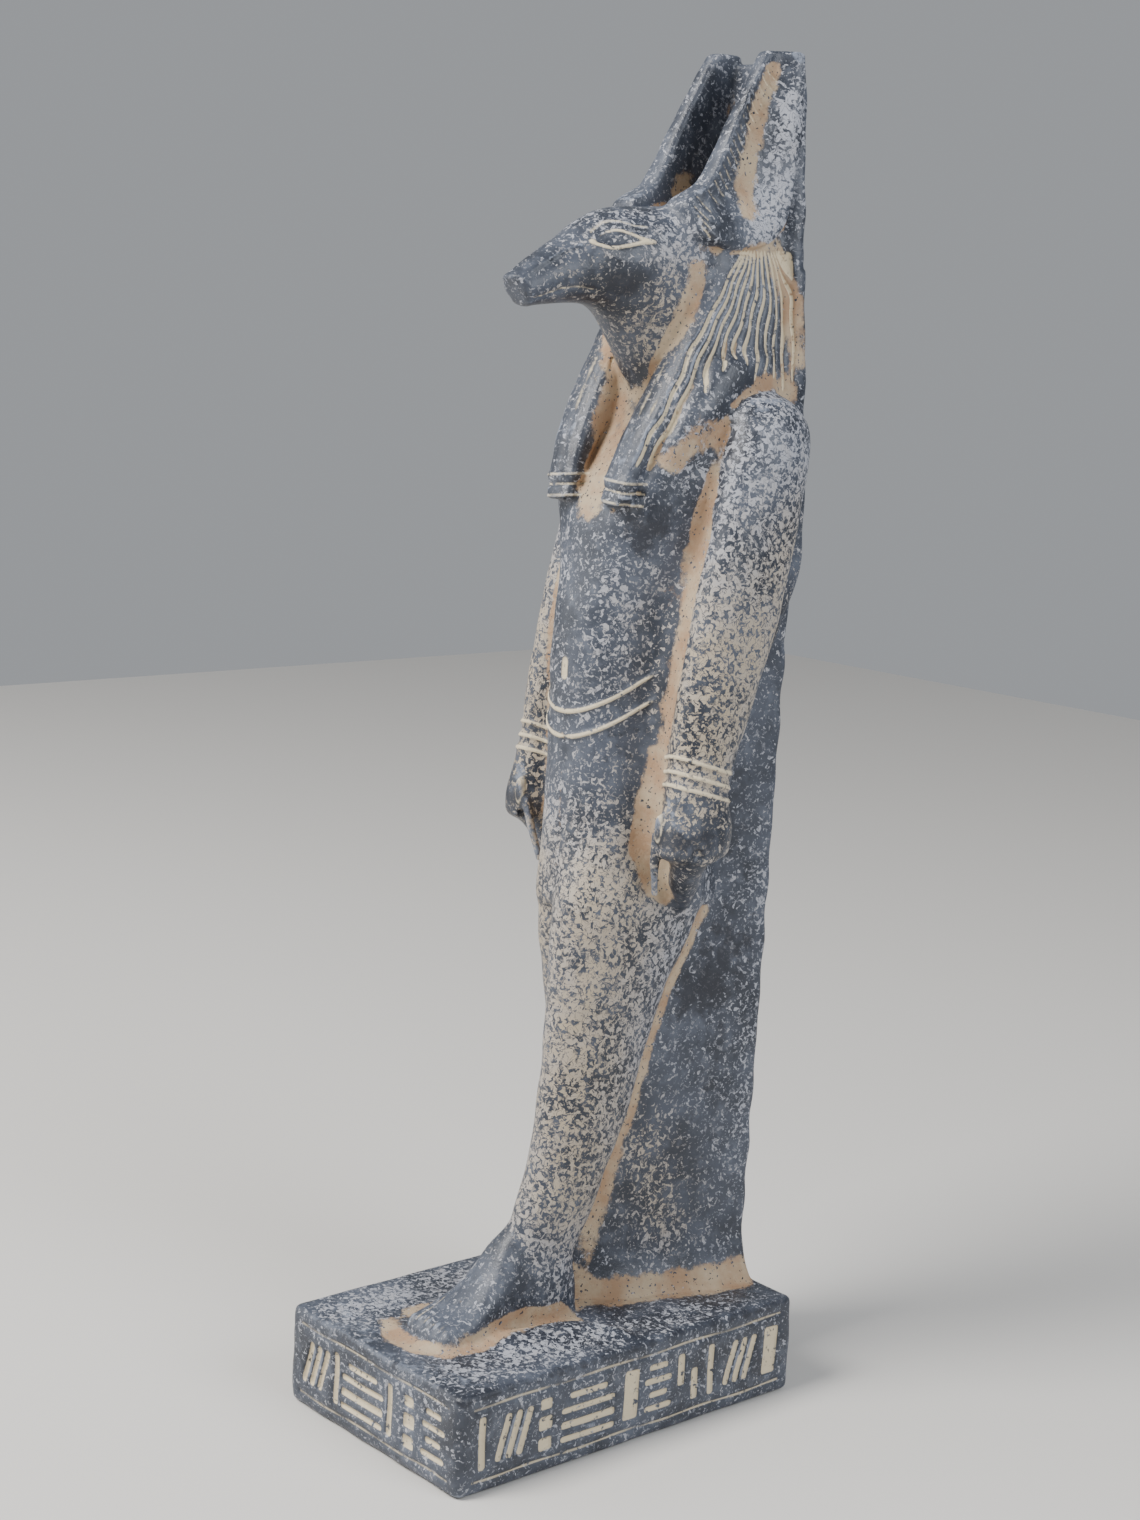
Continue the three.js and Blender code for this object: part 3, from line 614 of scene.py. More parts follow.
def carveWig(block):
    wig.joinTo(block, 5, fill=lambda x, y, z: 1.4 + 3.6 * ease((203 - z) / 12))
    for side in (1, -1):
        lappet.joinTo(block, 1, flip=side, round=0.8)
    for side in (1, -1):
        cuts, x, y, z = block.area((5 if side > 0 else -18, -3, 169), (18 if side > 0 else -5, 39.2, 216))
        u, v = y[0], z[0]
        front = between(strands["front"], v.ravel())[:, 1].reshape(v.shape)
        back = between(strands["back"], v.ravel())[:, 1].reshape(v.shape)
        share = np.clip((u - front) / (back - front), 0, 1)
        place = share ** 0.87 * strands["count"] + 0.1 * np.sin(0.55 * v + 3 * u * 0.2)
        number = np.round(place)
        wide = (back - front) / strands["count"] * 1.15 * np.maximum(share, 0.05) ** 0.13
        off = np.abs(place - number) * wide
        lowest = between(strands["ends"], u.ravel())[:, 1].reshape(u.shape)
        lowest = np.where(number <= 2, 174, np.maximum(lowest, 183) + 1.2 * np.sin(number * 2.4))
        seen = ease((v - lowest) / 3) * ease((215 - v) / 2)
        groove = strands["depth"] * np.exp(-(off / strands["width"]) ** 2) * (number > 0)
        swell = strands["swell"] * (1 - np.clip(2 * off / wide, 0, 1)) ** 2
        near = np.minimum(np.abs(wig.distance(x, y, z, side)), np.abs(lappet.distance(x, y, z, side)))
        depth = ((groove + swell) * seen)[None] * ease((np.abs(x) - 5.5) / 1.5)
        block.etch(cuts, -depth * ease(2.2 - near))
        # lines down the front of the lappet, and the bands across its end
        for angle in (0.75, 1.05, 1.35):
            line = [lappet.at(z, angle * math.pi / 2) for z in np.linspace(174, 194, 12)]
            lineInSpace(block, [(side * p[0], p[1], p[2]) for p in line], 0.4, -0.45)
        cuts, x, y, z = block.area((2.5 if side > 0 else -13, -3, 166), (13 if side > 0 else -2.5, 7.5, 176))
        near = np.abs(lappet.distance(x, y, z, side)) < 1.4
        for height in strands["bands"]:
            off = (z - height + 0.1 * (np.abs(x) - 7)) / 0.4
            rise = -0.45 if height == strands["bands"][1] else 0.32
            block.etch(cuts, np.where(near, rise * np.exp(-off ** 2), 0))
        chip(block, (side * 4.2, -0.6, 168.2), (1.2, 1.2, 1.4))
        chip(block, (side * 10.2, 0.4, 168.6), (1.1, 1.4, 0.9))
    print("wig carved")


# Ears: tall shells that open outward, with a rounded rim in front and a full lobe below

ear = {
    "rows": [   # height, front, rear, inner face, reach of the rim, reach of the rear edge, hollow
        [213.6, 20, 25, 4, 12.5, 13, -0.2],
        [215.5, 15.5, 29, 4, 12.4, 14, 0],
        [218.5, 12.5, 32, 4, 11.6, 13.8, 0.6],
        [221.5, 11.8, 33.8, 4.2, 10.2, 13.2, 1.4],
        [225, 17, 35, 4.8, 9.6, 12.6, 1.9],
        [236, 23.4, 36.6, 5.2, 9.2, 12, 2],
        [245, 28.6, 37.2, 5.2, 8.8, 11.6, 1.5],
        [249, 31, 37.4, 5, 8.4, 11, 0.8],
    ],
    "frontHatch": 20,
    "rearHatch": 26,
}


def carveEars(block):
    top = statue["height"]
    for side in (1, -1):
        cuts, x, y, z = block.area((2 if side > 0 else -16, 9, 211), (16 if side > 0 else -2, 40, top + 2))
        rows = between(ear["rows"], z.ravel()).astype(np.float32)
        start, end, inner, rim, rear, hollow = [rows[:, k].reshape(z.shape) for k in range(1, 7)]
        t = (y - start) / (end - start)
        dip = hollow * np.maximum(np.sin(np.pi * np.clip(t * 1.15, 0, 1)), 0) ** 1.3
        outer = mix(rim, rear, np.clip(t, 0, 1)) - dip
        # short chisel strokes: slanting ones inside the front rim, fine ones over the rear lobe
        u, v = y[0], z[0]
        hatch = np.zeros(np.broadcast(u, v).shape, np.float32)
        for k in range(ear["frontHatch"]):
            height = mix(218, 246, k / (ear["frontHatch"] - 1))
            edge = between(ear["rows"], max(height, 221))[0][1] + 1.6
            hatch -= 0.46 * softLine(u, v, [(edge, height), (edge + 2.4, height - 2.6)], 0.34)
        for k in range(ear["rearHatch"]):
            spread = k / (ear["rearHatch"] - 1)
            foot = (mix(19, 34, spread), mix(215.5, 227, spread ** 2) + 1.2 * math.sin(9 * k))
            hatch -= 0.14 * softLine(u, v, [foot, (foot[0] + 1.2, foot[1] + mix(3, 8, spread))], 0.3)
        shell = smoothHigh(side * x - outer, inner - side * x, 1.2)
        shell = smoothHigh(shell, smoothHigh(start - y, y - end - 0.9, 1), 1.6)
        shell = smoothHigh(shell, smoothHigh(z - top, 213.4 - z, 1), 0.8)
        # the front of the ear's foot runs smoothly into the head, its lobe stands over the wig
        fill = 0.9 + 5 * ease((223 - z) / 8) * ease((22 - y) / 6)
        block.join(cuts, shell, fill)
        block.etch(cuts, hatch[None] * ease((1.2 - np.abs(side * x - outer)) / 0.6))
    # the stone between the ears, at the back
    cuts, x, y, z = block.area((-8, 30, 214), (8, 40, top))
    gap = smoothHigh(np.abs(x) - 7, smoothHigh(36 - y, y - statue["backPlane"], 1), 1)
    block.join(cuts, smoothHigh(gap, z - top + 1.6, 1), 1)
    print("ears carved")


chips = [   # place and half sizes of small breaks
    ((20.8, -41, 18.9), (1.6, 1, 0.7)), ((25.9, -12, 19), (0.7, 2, 0.6)), ((26, 21, 18.8), (0.8, 1.4, 0.9)),
    ((25.6, -40.4, 9.5), (0.6, 0.6, 1.6)), ((-26, 8, 18.9), (0.8, 2, 0.7)), ((-25.4, -40.2, 15), (0.7, 0.8, 1.2)),
    ((14.6, 38.6, 142), (1, 0.9, 2)), ((14.3, 39.2, 128), (0.6, 0.6, 1)), ((-14.2, 39, 96), (0.8, 0.8, 1.6)),
    ((12.6, 38.6, 212), (0.6, 0.8, 1.1)), ((25.9, 8, 108.4), (0.9, 1.2, 1)),
    ((-19.5, 5.2, 108), (1.1, 0.9, 1)), ((9.9, 36.8, 247.6), (0.9, 0.8, 0.8)), ((3, 40.2, 60), (1.4, 0.6, 1.1)),
]


def carveStatue():
    margin = 3
    corner = [low[0] - margin, low[1] - margin, low[2] - margin]
    block = Block(corner, [c + margin for c in high], statue["pitch"])
    carvePillar(block)
    carvePlinth(block)
    carveLegs(block)
    carveBody(block)
    carveArms(block)
    carveHead(block)
    carveWig(block)
    carveEars(block)
    for place, sizes in chips:
        chip(block, place, sizes)
    # the surface was rubbed down by hand and is nowhere quite even; the underside stays flat
    cuts, x, y, z = block.area(low, high)
    uneven = np.sin(0.42 * x + 0.25 * z + 1) * np.sin(0.37 * y - 0.21 * z)
    uneven = uneven + 0.6 * np.sin(0.83 * y + 0.3 * x) * np.sin(0.61 * z + 2)
    uneven = uneven * ease((z - 19) / 4)
    block.raiseBy(cuts, statue["wave"] * (uneven - 1))
    block.field -= block.lines
    print("statue carved")
    return block


def dropStrays(mesh):
    # keeps the one connected body, without specks that the block may hold inside it
    edges = np.empty(len(mesh.edges) * 2, np.int32)
    mesh.edges.foreach_get("vertices", edges)
    first, second = edges.reshape(-1, 2).T
    label = np.arange(len(mesh.vertices))
    while True:
        lowest = label.copy()
        np.minimum.at(lowest, first, label[second])
        np.minimum.at(lowest, second, label[first])
        lowest = lowest[lowest]
        if (lowest == label).all():
            break
        label = lowest
    main = np.bincount(label).argmax()
    edit = bmesh.new()
    edit.from_mesh(mesh)
    strays = [v for v in edit.verts if label[v.index] != main]
    bmesh.ops.delete(edit, geom=strays, context="VERTS")
    edit.to_mesh(mesh)
    edit.free()
    print("stray points dropped:", len(strays))


def meshFromBlock(block, name):
    grid = openvdb.FloatGrid(3.0)
    grid.copyFromArray(np.clip(block.field, -3, 3))
    points, triangles, quads = grid.convertToPolygons(isovalue=0.0, adaptivity=0.0)
    points = block.corner + points * block.pitch
    mesh = bpy.data.meshes.new(name)
    mesh.vertices.add(len(points))
    mesh.vertices.foreach_set("co", (points / 1000).astype(np.float32).ravel())
    mesh.loops.add(quads.size)
    mesh.loops.foreach_set("vertex_index", quads.astype(np.int32).ravel())
    mesh.polygons.add(len(quads))
    mesh.polygons.foreach_set("loop_start", np.arange(0, quads.size, 4, dtype=np.int32))
    mesh.update(calc_edges=True)
    piece = bpy.data.objects.new(name, mesh)
    bpy.context.scene.collection.objects.link(piece)
    print("block meshed:", len(quads), "quads,", len(triangles), "triangles")
    thin = piece.modifiers.new("thin", "DECIMATE")
    thin.use_collapse_triangulate = True
    thin.ratio = statue["triangles"] / (2 * len(quads))
    bpy.context.view_layer.update()
    shown = piece.evaluated_get(bpy.context.evaluated_depsgraph_get())
    piece.data = bpy.data.meshes.new_from_object(shown)
    piece.modifiers.clear()
    piece.data.name = name
    piece.data.validate()
    dropStrays(piece.data)
    piece.data.shade_smooth()
    print("thinned to", len(piece.data.polygons), "faces")
    return piece


block = carveStatue()
carving = meshFromBlock(block, "carved_statue")
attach(carving, "root")
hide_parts("seth_statue")

# Where the finish gathers, and where painted highlights and painted shade are laid: each entry has its strength,
# its radius and the places it runs through.
# The right side has the same, as it has the same forms, so x is counted outward from the middle.

gathered = {
    "tan": [
        (0.95, 2.6, [(16.5, 16, 171), (17.4, 12.3, 160), (17.5, 10, 149), (16.5, 8.2, 138), (14.8, 8, 127),
                     (12.9, 7.6, 116), (12, 7.2, 107)]),
        (0.8, 3.4, [(11, 14, 116), (12, 9, 108), (13, 11, 100)]),
        (0.85, 3, [(11, 24, 93), (7.8, 19.5, 81), (5.6, 16, 70), (4.8, 13, 59), (4.4, 10.5, 49),
                   (4, 8, 36), (5, 5, 26)]),
        (0.95, 3.6, [(6, 6, 21), (9, 16, 20), (12, 26, 20.5), (14.5, 37, 20.5)]),
        (0.85, 2.6, [(8.8, -4, 20), (8.6, -14, 20), (9.6, -25, 19.6)]),
        (0.9, 2.2, [(9, -31, 19), (2, -34, 19), (-5, -33, 19)]),
        (0.85, 3.2, [(13.5, 8, 177), (14.5, 13, 183), (13.5, 19, 189), (14, 26, 191), (14.5, 34, 189)]),
        (0.9, 2.3, [(11, 14, 210), (10, 12.6, 203), (8.6, 12, 196), (6.4, 10, 189), (4.6, 7, 182)]),
        (0.9, 4, [(0, 8, 187), (0, 4, 177), (0, 2, 168)]),
        (0.85, 2.3, [(8.2, 32, 245), (8, 29, 236), (8.4, 27, 228), (10.4, 25, 220)]),
        (0.9, 4, [(0, 22, 222), (1, 26, 226), (3, 24, 224)]),
        (0.75, 3.6, [(12.5, 32, 213), (12.5, 36, 205), (13.5, 37, 196)]),
        (0.7, 2.2, [(-0.9, -3.2, 126), (-0.9, -3.4, 112), (-1.8, -3.4, 102)]),
        (0.75, 2, [(8, 19, 216), (10.6, 22, 214.6), (12.4, 27, 214.4)]),
    ],
    "speckle": [
        (0.5, 8, [(5, -1.8, 112), (4, -2.6, 104), (10, 3, 108)]),
        (0.75, 9, [(10, -1, 100), (11, 0, 90), (9, -4, 80), (8, -5, 68)]),
        (0.45, 6, [(14.8, 11, 175), (12, 12, 184)]),
        (0.35, 7, [(8, 1.7, 159), (9, 3, 148), (6, 1, 136)]),
        (0.6, 7, [(16, -34, 19), (17, -20, 20), (18, -6, 20)]),
        (0.4, 6, [(20, 6, 19), (20, 26, 19)]),
        (0.5, 5, [(6.4, 17, 46), (7, 19, 36), (8, 22, 30)]),
        (0.35, 7, [(12.4, 35, 100), (12, 35, 70), (11.5, 35, 48)]),
        (0.4, 6, [(4, -2, 217), (6, 5, 218), (9, 9, 215)]),
        (0.85, 4.5, [(13, 28, 218), (12.5, 32, 226), (11.5, 35, 240)]),
        (0.35, 6, [(9, 7, 205), (5, 8, 198), (10.5, 10, 212)]),
    ],
    "warm": [
        (0.9, 16, [(24, 12, 142), (24, 9, 128), (23, 8, 118)]),
        (0.85, 14, [(10, 0, 98), (9, -2, 80), (8, -4, 62), (8, -4, 44)]),
        (0.7, 9, [(6, 16, 50), (8, 22, 34)]),
        (0.8, 9, [(8, 8, 203), (5, 8, 195), (8, -6, 204)]),
        (0.6, 12, [(25, 28, 160), (25, 26, 146)]),
    ],
    # painted shade under the jaw, below the shoulder beside the chest, under the fist, on the kilt's side, behind
    # the leg on the pillar's web and in the nostrils; the last two rows are a dark band along the plinth's top
    # edges
    "dark": [
        (0.9, 4, [(7.2, -1, 207.2), (8, 1, 206)]),
        (0.85, 5.5, [(13, 5.5, 167), (11, 4, 163)]),
        (0.9, 2.6, [(20, 4.4, 110.6), (24, 5, 110.8), (26, 10, 111.4)]),
        (0.55, 8, [(7, 0.3, 124), (10, 5, 130)]),
        (0.6, 5, [(9, 24, 76), (12.2, 32, 86)]),
        (0.5, 9, [(11, 30, 106), (9.5, 28, 62), (9, 27, 44)]),
        (0.6, 2.6, [(2, -19, 205), (2, -18, 203)]),
        (0.85, 1.7, [(25.8, -40, 18.6), (25.8, 0, 18.6), (25.8, 39, 18.6)]),
        (0.7, 1.6, [(0, -40.8, 18.4), (24, -40.8, 18.4)]),
    ],
    # painted highlights on the tops and edges that face the light: the fist, the shoulder, the snout and head,
    # the plinth's front edge, the foot and the lappet's front edge
    "wearAndHighlight": [
        (0.8, 3.6, [(23.5, 5, 115), (21, 4.6, 116)]),
        (0.7, 5, [(19, 21, 188), (22, 22, 184)]),
        (0.5, 5, [(0, -12, 211), (0, -4, 216), (2, 3, 220)]),
        (0.7, 6, [(14, -38, 19), (4, -38, 19), (20, -34, 19)]),
        (0.6, 4, [(2, -24, 25), (3, -16, 31)]),
        (0.6, 2.4, [(7.4, -0.8, 172), (8.4, 2.2, 181)]),
    ],
}


def nearTrail(points, trail, radius):
    trail = np.array(trail, float)
    best = ((points - trail[0]) ** 2).sum(1)
    for p, q in zip(trail, trail[1:]):
        d = q - p
        t = np.clip((points - p) @ d / (d @ d), 0, 1)
        best = np.minimum(best, ((points - p - t[:, None] * d) ** 2).sum(1))
    return np.exp(-best / radius ** 2)


def surfaceMasks(block, mesh):
    # values for each point of the mesh that the material reads by name
    points = np.empty(len(mesh.vertices) * 3, np.float32)
    mesh.vertices.foreach_get("co", points)
    points = points.reshape(-1, 3).astype(float) * 1000
    normals = np.empty(len(mesh.vertices) * 3, np.float32)
    mesh.vertex_normals.foreach_get("vector", normals)
    normals = normals.reshape(-1, 3)
    steps = (-1, 0, 1)
    around = [(i, j, k) for i in steps for j in steps for k in steps if (i + j + k) % 2 or i * j * k]
    around = [np.array(d) / np.linalg.norm(d) for d in around]
    masks = {}
    for name, reach in (("bend", 0.9), ("fold", 3.4)):
        total = sum(block.sample(block.field, points + reach * d) for d in around)
        masks[name] = total / len(around) / reach
    free = [np.clip(block.sample(block.field, points + normals * d) / d, 0, 1) for d in (1.5, 3.5, 7)]
    masks["shelter"] = 1 - sum(free) / len(free)
    masks["carved"] = block.sample(block.lines, points)
    outward = np.abs(points[:, 0])
    mirrored = np.column_stack((outward, points[:, 1], points[:, 2]))
    for name, trails in gathered.items():
        left = np.ones(len(points))
        for strength, radius, trail in trails:
            left *= 1 - strength * nearTrail(mirrored, trail, radius)
        masks[name] = 1 - left
    onArm = ease(1.2 - arm.distance(outward, points[:, 1], points[:, 2]))
    onLeg = ease(1.4 - limbs["leftLeg"].distance(points[:, 0], points[:, 1], points[:, 2]))
    height = points[:, 2]
    armShare = onArm * mix(0.3, mix(0.64, 0.52, ease((height - 150) / 20)), ease((height - 117) / 5))
    masks["speckle"] = np.maximum(masks["speckle"], np.maximum(armShare, 0.58 * onLeg))
    masks["tan"] *= 1 - onArm * ease((outward - 18) / 2)
    for name, values in masks.items():
        layer = mesh.attributes.new(name, "FLOAT", "POINT")
        layer.data.foreach_set("value", values.astype(np.float32))
    print("surface masks written:", ", ".join(masks))


class Graph:
    # a short way to place and join the nodes of a material or a node group
    def __init__(self, tree):
        self.tree = tree

    def place(self, kind, inputs, **settings):
        made = self.tree.nodes.new(kind)
        for name, value in settings.items():
            setattr(made, name, value)
        for socket, value in inputs.items():
            if isinstance(value, bpy.types.NodeSocket):
                self.tree.links.new(value, made.inputs[socket])
            else:
                made.inputs[socket].default_value = value
        return made

    def math(self, kind, a, b=0.0, clamp=False):
        return self.place("ShaderNodeMath", {0: a, 1: b}, operation=kind, use_clamp=clamp).outputs[0]

    def step(self, value, start, end):
        inputs = {"Value": value, "From Min": start, "From Max": end}
        return self.place("ShaderNodeMapRange", inputs, interpolation_type="SMOOTHSTEP").outputs[0]

    def noise(self, where, scale, detail=2.0, roughness=0.5, distortion=0.0):
        inputs = {"Vector": where, "Scale": scale, "Detail": detail, "Roughness": roughness}
        inputs["Distortion"] = distortion
        return self.place("ShaderNodeTexNoise", inputs).outputs[0]

    def colour(self, share, a, b):
        return self.place("ShaderNodeMix", {0: share, 6: a, 7: b}, data_type="RGBA").outputs[2]

    def value(self, share, a, b):
        return self.place("ShaderNodeMix", {0: share, 2: a, 3: b}, data_type="FLOAT").outputs[0]

    def mask(self, name):
        return self.place("ShaderNodeAttribute", {}, attribute_name=name).outputs["Fac"]


def newGroup(name, inputs, outputs):
    tree = bpy.data.node_groups.new(name, "ShaderNodeTree")
    for socket, kind in inputs:
        tree.interface.new_socket(socket, in_out="INPUT", socket_type=kind)
    for socket in outputs:
        tree.interface.new_socket(socket, in_out="OUTPUT", socket_type="NodeSocketFloat")
    given = tree.nodes.new("NodeGroupInput").outputs
    return tree, Graph(tree), given, tree.nodes.new("NodeGroupOutput").inputs


def speckleGroup():
    # short curls of pale dust between dark grains; coverage runs from a few flecks to nearly all pale
    tree, graph, given, result = newGroup(
        "curledSpeckle",
        [("Where", "NodeSocketVector"), ("Scale", "NodeSocketFloat"), ("Coverage", "NodeSocketFloat")], ["Mask"])
    grains = graph.noise(given["Where"], given["Scale"], 1.5, 0.5, 0.7)
    level = graph.math("SUBTRACT", 0.665, graph.math("MULTIPLY", given["Coverage"], 0.27))
    pale = graph.step(grains, graph.math("SUBTRACT", level, 0.02), graph.math("ADD", level, 0.02))
    turned = graph.noise(given["Where"], graph.math("MULTIPLY", given["Scale"], 0.8), 0.5, 0.5, 1.2)
    curls = graph.math("ABSOLUTE", graph.math("SUBTRACT", turned, 0.5))
    curls = graph.step(curls, 0.01, 0.032)
    tree.links.new(graph.math("MULTIPLY", pale, curls), result["Mask"])
    return tree


def raggedSpreadGroup():
    # a mask that is on where the amount is high, with a ragged edge: it lays the tan dust, the lighter wear with
    # its painted highlights, and the painted shade
    tree, graph, given, result = newGroup(
        "raggedSpreadMask",
        [("Where", "NodeSocketVector"), ("Scale", "NodeSocketFloat"), ("Amount", "NodeSocketFloat")], ["Mask"])
    ragged = graph.noise(given["Where"], given["Scale"], 5, 0.72)
    ragged = graph.math("MULTIPLY", graph.math("SUBTRACT", ragged, 0.5), 1.3)
    tree.links.new(graph.step(graph.math("ADD", given["Amount"], ragged), 0.38, 0.62), result["Mask"])
    return tree


stoneFinish = {   # colours of the stone and of what lies on it; the lighter grey also paints highlights and the black paints shade
    "slateDark": (0.019, 0.023, 0.033, 1), "slate": (0.058, 0.068, 0.092, 1), "wearAndHighlight": (0.2, 0.225, 0.28, 1),
    "paleCool": (0.36, 0.37, 0.41, 1), "paleWarm": (0.42, 0.34, 0.23, 1), "tan": (0.34, 0.215, 0.125, 1),
    "tanPale": (0.43, 0.335, 0.225, 1), "cream": (0.62, 0.53, 0.37, 1), "black": (0.012, 0.014, 0.022, 1),
    "speckleScale": 980, "fineScale": 1600, "dustScale": 230,
}


def makeStone():
    stone = bpy.data.materials.new("carvedStone")
    stone.use_nodes = True
    tree = stone.node_tree
    graph = Graph(tree)
    shader = tree.nodes["Principled BSDF"]
    look = stoneFinish
    where = graph.place("ShaderNodeTexCoord", {}).outputs["Object"]
    speckles, raggedSpread = speckleGroup(), raggedSpreadGroup()

    def lay(group, scale, third, amount):
        inputs = {"Where": where, "Scale": scale, third: amount}
        made = tree.nodes.new("ShaderNodeGroup")
        made.node_tree = group
        for socket, value in inputs.items():
            if isinstance(value, bpy.types.NodeSocket):
                tree.links.new(value, made.inputs[socket])
            else:
                made.inputs[socket].default_value = value
        return made.outputs["Mask"]

    cloud = graph.noise(where, 70, 5, 0.62)
    colour = graph.colour(graph.step(cloud, 0.36, 0.66), look["slateDark"], look["slate"])
    streak = graph.noise(where, 330, 3, 0.6)
    colour = graph.colour(graph.math("MULTIPLY", graph.step(streak, 0.48, 0.72), 0.2), colour, look["wearAndHighlight"])
    # the dark mask is painted shade, along with a dark band on the plinth's top edges: it holds back the painted
    # highlight, the speckle and the tan
    dark = graph.mask("dark")
    notDark = graph.math("SUBTRACT", 1, dark, True)
    # edges rubbed lighter by wear, and painted highlights on the high places that face the light
    edgeWearAndHighlight = graph.math("ADD", graph.mask("wearAndHighlight"), graph.step(graph.mask("bend"), 0.05, 0.3))
    wearAndHighlight = graph.math("MULTIPLY", lay(raggedSpread, 420, "Amount", graph.math("MULTIPLY", edgeWearAndHighlight, 0.62)), 0.75)
    colour = graph.colour(graph.math("MULTIPLY", wearAndHighlight, notDark), colour, look["wearAndHighlight"])
    # pale speckle, cool above and warmer on the forearm and leg
    patchy = graph.math("MULTIPLY", graph.math("SUBTRACT", cloud, 0.45), 0.7)
    coverage = graph.math("ADD", graph.mask("speckle"), patchy)
    coverage = graph.math("MULTIPLY", coverage, notDark, True)
    coarse = lay(speckles, look["speckleScale"], "Coverage", coverage)
    fineCoverage = graph.math("ADD", graph.math("MULTIPLY", coverage, 0.4), 0.14)
    fine = lay(speckles, look["fineScale"], "Coverage", fineCoverage)
    pale = graph.math("MAXIMUM", coarse, graph.math("MULTIPLY", fine, 0.5))
    toneNoise = graph.math("MULTIPLY", graph.math("SUBTRACT", streak, 0.5), 0.8)
    tone = graph.math("ADD", graph.mask("warm"), toneNoise, True)
    paleColour = graph.colour(tone, look["paleCool"], look["paleWarm"])
    colour = graph.colour(graph.math("MULTIPLY", pale, 0.85), colour, paleColour)
    # tan dust in the hollows
    hollow = graph.math("MULTIPLY", graph.step(graph.mask("fold"), -0.03, -0.2), 0.5)
    sheltered = graph.math("MULTIPLY", graph.step(graph.mask("shelter"), 0.35, 0.75), 0.25)
    amount = graph.math("ADD", graph.mask("tan"), graph.math("ADD", hollow, sheltered))
    amount = graph.math("SUBTRACT", amount, graph.math("MULTIPLY", dark, 0.6))
    tan = lay(raggedSpread, look["dustScale"], "Amount", amount)
    tanShift = graph.step(graph.noise(where, 150, 4, 0.6), 0.35, 0.65)
    tanColour = graph.colour(tanShift, look["tan"], look["tanPale"])
    pits = graph.step(graph.noise(where, 1500, 1), 0.3, 0.36)
    colour = graph.colour(graph.math("MULTIPLY", graph.math("MULTIPLY", tan, pits), 0.93), colour, tanColour)
    # cream in the carved lines and on the raised ones
    carved = graph.mask("carved")
    lines = graph.math("MAXIMUM", graph.step(carved, -0.26, -0.42), graph.step(carved, 0.16, 0.32))
    worked = graph.math("MULTIPLY", lines, graph.step(graph.noise(where, 900, 2), 0.3, 0.42))
    colour = graph.colour(graph.math("MULTIPLY", worked, 0.9), colour, look["cream"])
    # painted shade: where the dark mask is high the colour goes toward black, except on the cream lines
    paintedShade = graph.math("MULTIPLY", lay(raggedSpread, 300, "Amount", graph.math("MULTIPLY", dark, 0.75)), 0.8)
    unlined = graph.math("SUBTRACT", 1, worked, True)
    colour = graph.colour(graph.math("MULTIPLY", paintedShade, unlined), colour, look["black"])
    tree.links.new(colour, shader.inputs["Base Color"])

    dusty = graph.math("MAXIMUM", tan, worked)
    rough = graph.value(pale, graph.value(graph.step(cloud, 0.3, 0.7), 0.36, 0.5), 0.62)
    tree.links.new(graph.value(dusty, rough, 0.88), shader.inputs["Roughness"])
    grain = graph.math("MULTIPLY", graph.noise(where, 2600, 3, 0.6), 0.5)
    relief = graph.math("ADD", grain, graph.math("MULTIPLY", pale, -0.45))
    relief = graph.math("ADD", relief, graph.math("MULTIPLY", graph.noise(where, 420, 3, 0.55), 0.8))
    bump = graph.place("ShaderNodeBump", {"Strength": 0.45, "Distance": 0.0003, "Height": relief})
    tree.links.new(bump.outputs["Normal"], shader.inputs["Normal"])
    return stone


surfaceMasks(block, carving.data)
carving.data.materials.append(makeStone())
print("stone finished")


# Floor, light and camera, in metres

view = {
    "azimuth": math.radians(48.98), "elevation": math.radians(10.27), "roll": math.radians(-2.7),
    "place": (0.33495, -0.29200, 0.20252), "sensor": 36.0, "focal": 2500 / 1140,
}


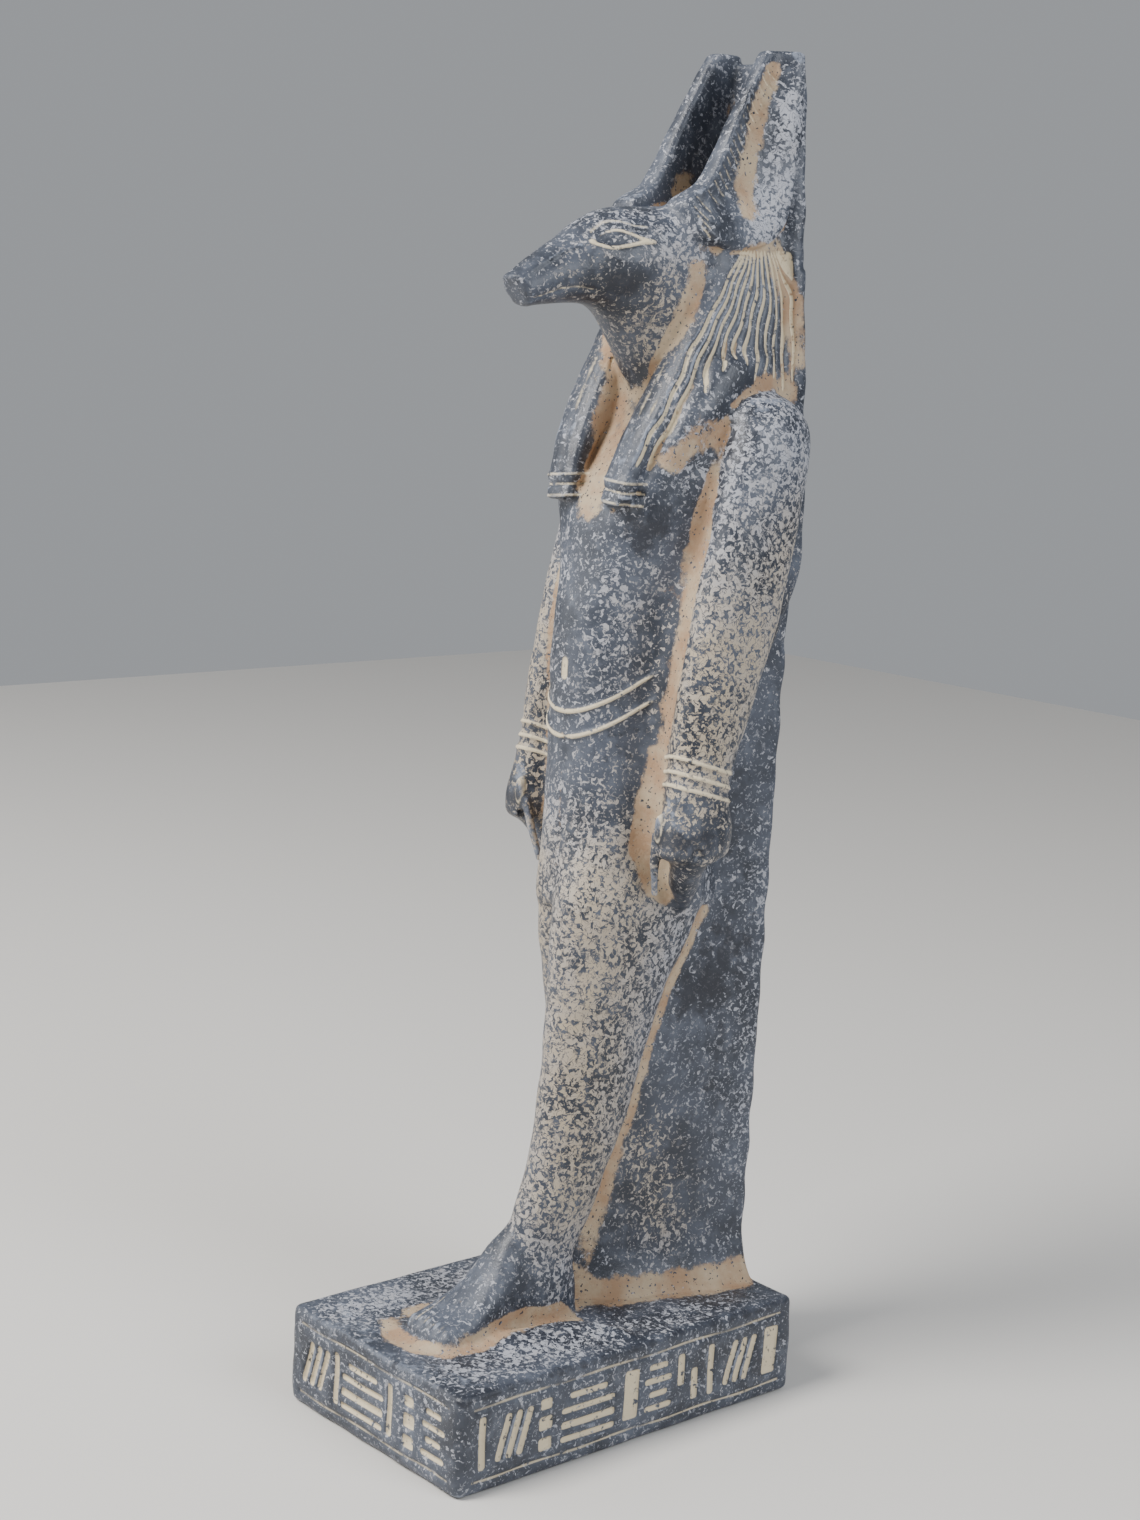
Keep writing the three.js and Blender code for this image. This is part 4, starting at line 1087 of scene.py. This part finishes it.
def addFloor():
    size = 1.6
    bpy.ops.mesh.primitive_plane_add(size=size, location=(0, 0, 0))
    floor = bpy.context.object
    floor.name = "floor"
    pale = bpy.data.materials.new("paleFloor")
    pale.use_nodes = True
    shader = pale.node_tree.nodes["Principled BSDF"]
    shader.inputs["Base Color"].default_value = (0.62, 0.6, 0.57, 1)
    shader.inputs["Roughness"].default_value = 0.9
    floor.data.materials.append(pale)


def addLight(name, place, target, size, power, colour):
    light = bpy.data.lights.new(name, "AREA")
    light.shape = "DISK"
    light.size = size
    light.energy = power
    light.color = colour
    lamp = bpy.data.objects.new(name, light)
    lamp.location = place
    toward = Vector([t - p for t, p in zip(target, place)])
    lamp.rotation_euler = toward.to_track_quat("-Z", "Y").to_euler()
    bpy.context.scene.collection.objects.link(lamp)


def addCamera():
    a, e, r = view["azimuth"], view["elevation"], view["roll"]
    back = np.array((math.sin(a) * math.cos(e), -math.cos(a) * math.cos(e), math.sin(e)))
    right = np.array((math.cos(a), math.sin(a), 0))
    up = np.cross(back, right)
    across = math.cos(r) * right - math.sin(r) * up
    upward = math.cos(r) * up + math.sin(r) * right
    data = bpy.data.cameras.new("camera")
    data.sensor_fit = "HORIZONTAL"
    data.sensor_width = view["sensor"]
    data.lens = view["focal"] * view["sensor"]
    camera = bpy.data.objects.new("camera", data)
    turn = Matrix([[across[k], upward[k], back[k], view["place"][k]] for k in range(3)] + [[0, 0, 0, 1]])
    camera.matrix_world = turn
    bpy.context.scene.collection.objects.link(camera)
    bpy.context.scene.camera = camera


addFloor()
addLight("keyLight", (-0.12, -0.6, 0.75), (0, 0, 0.12), 0.4, 13, (1, 0.98, 0.95))
addLight("sideLight", (0.7, 0.1, 0.5), (0, 0, 0.12), 0.5, 5, (0.9, 0.94, 1))
addLight("fillLight", (-0.5, -0.5, 0.3), (0, 0, 0.12), 0.7, 3, (0.95, 0.97, 1))
world = bpy.data.worlds.new("softRoom")
world.use_nodes = True
world.node_tree.nodes["Background"].inputs["Color"].default_value = (0.75, 0.78, 0.82, 1)
world.node_tree.nodes["Background"].inputs["Strength"].default_value = 0.45
bpy.context.scene.world = world
addCamera()
print("stage set")
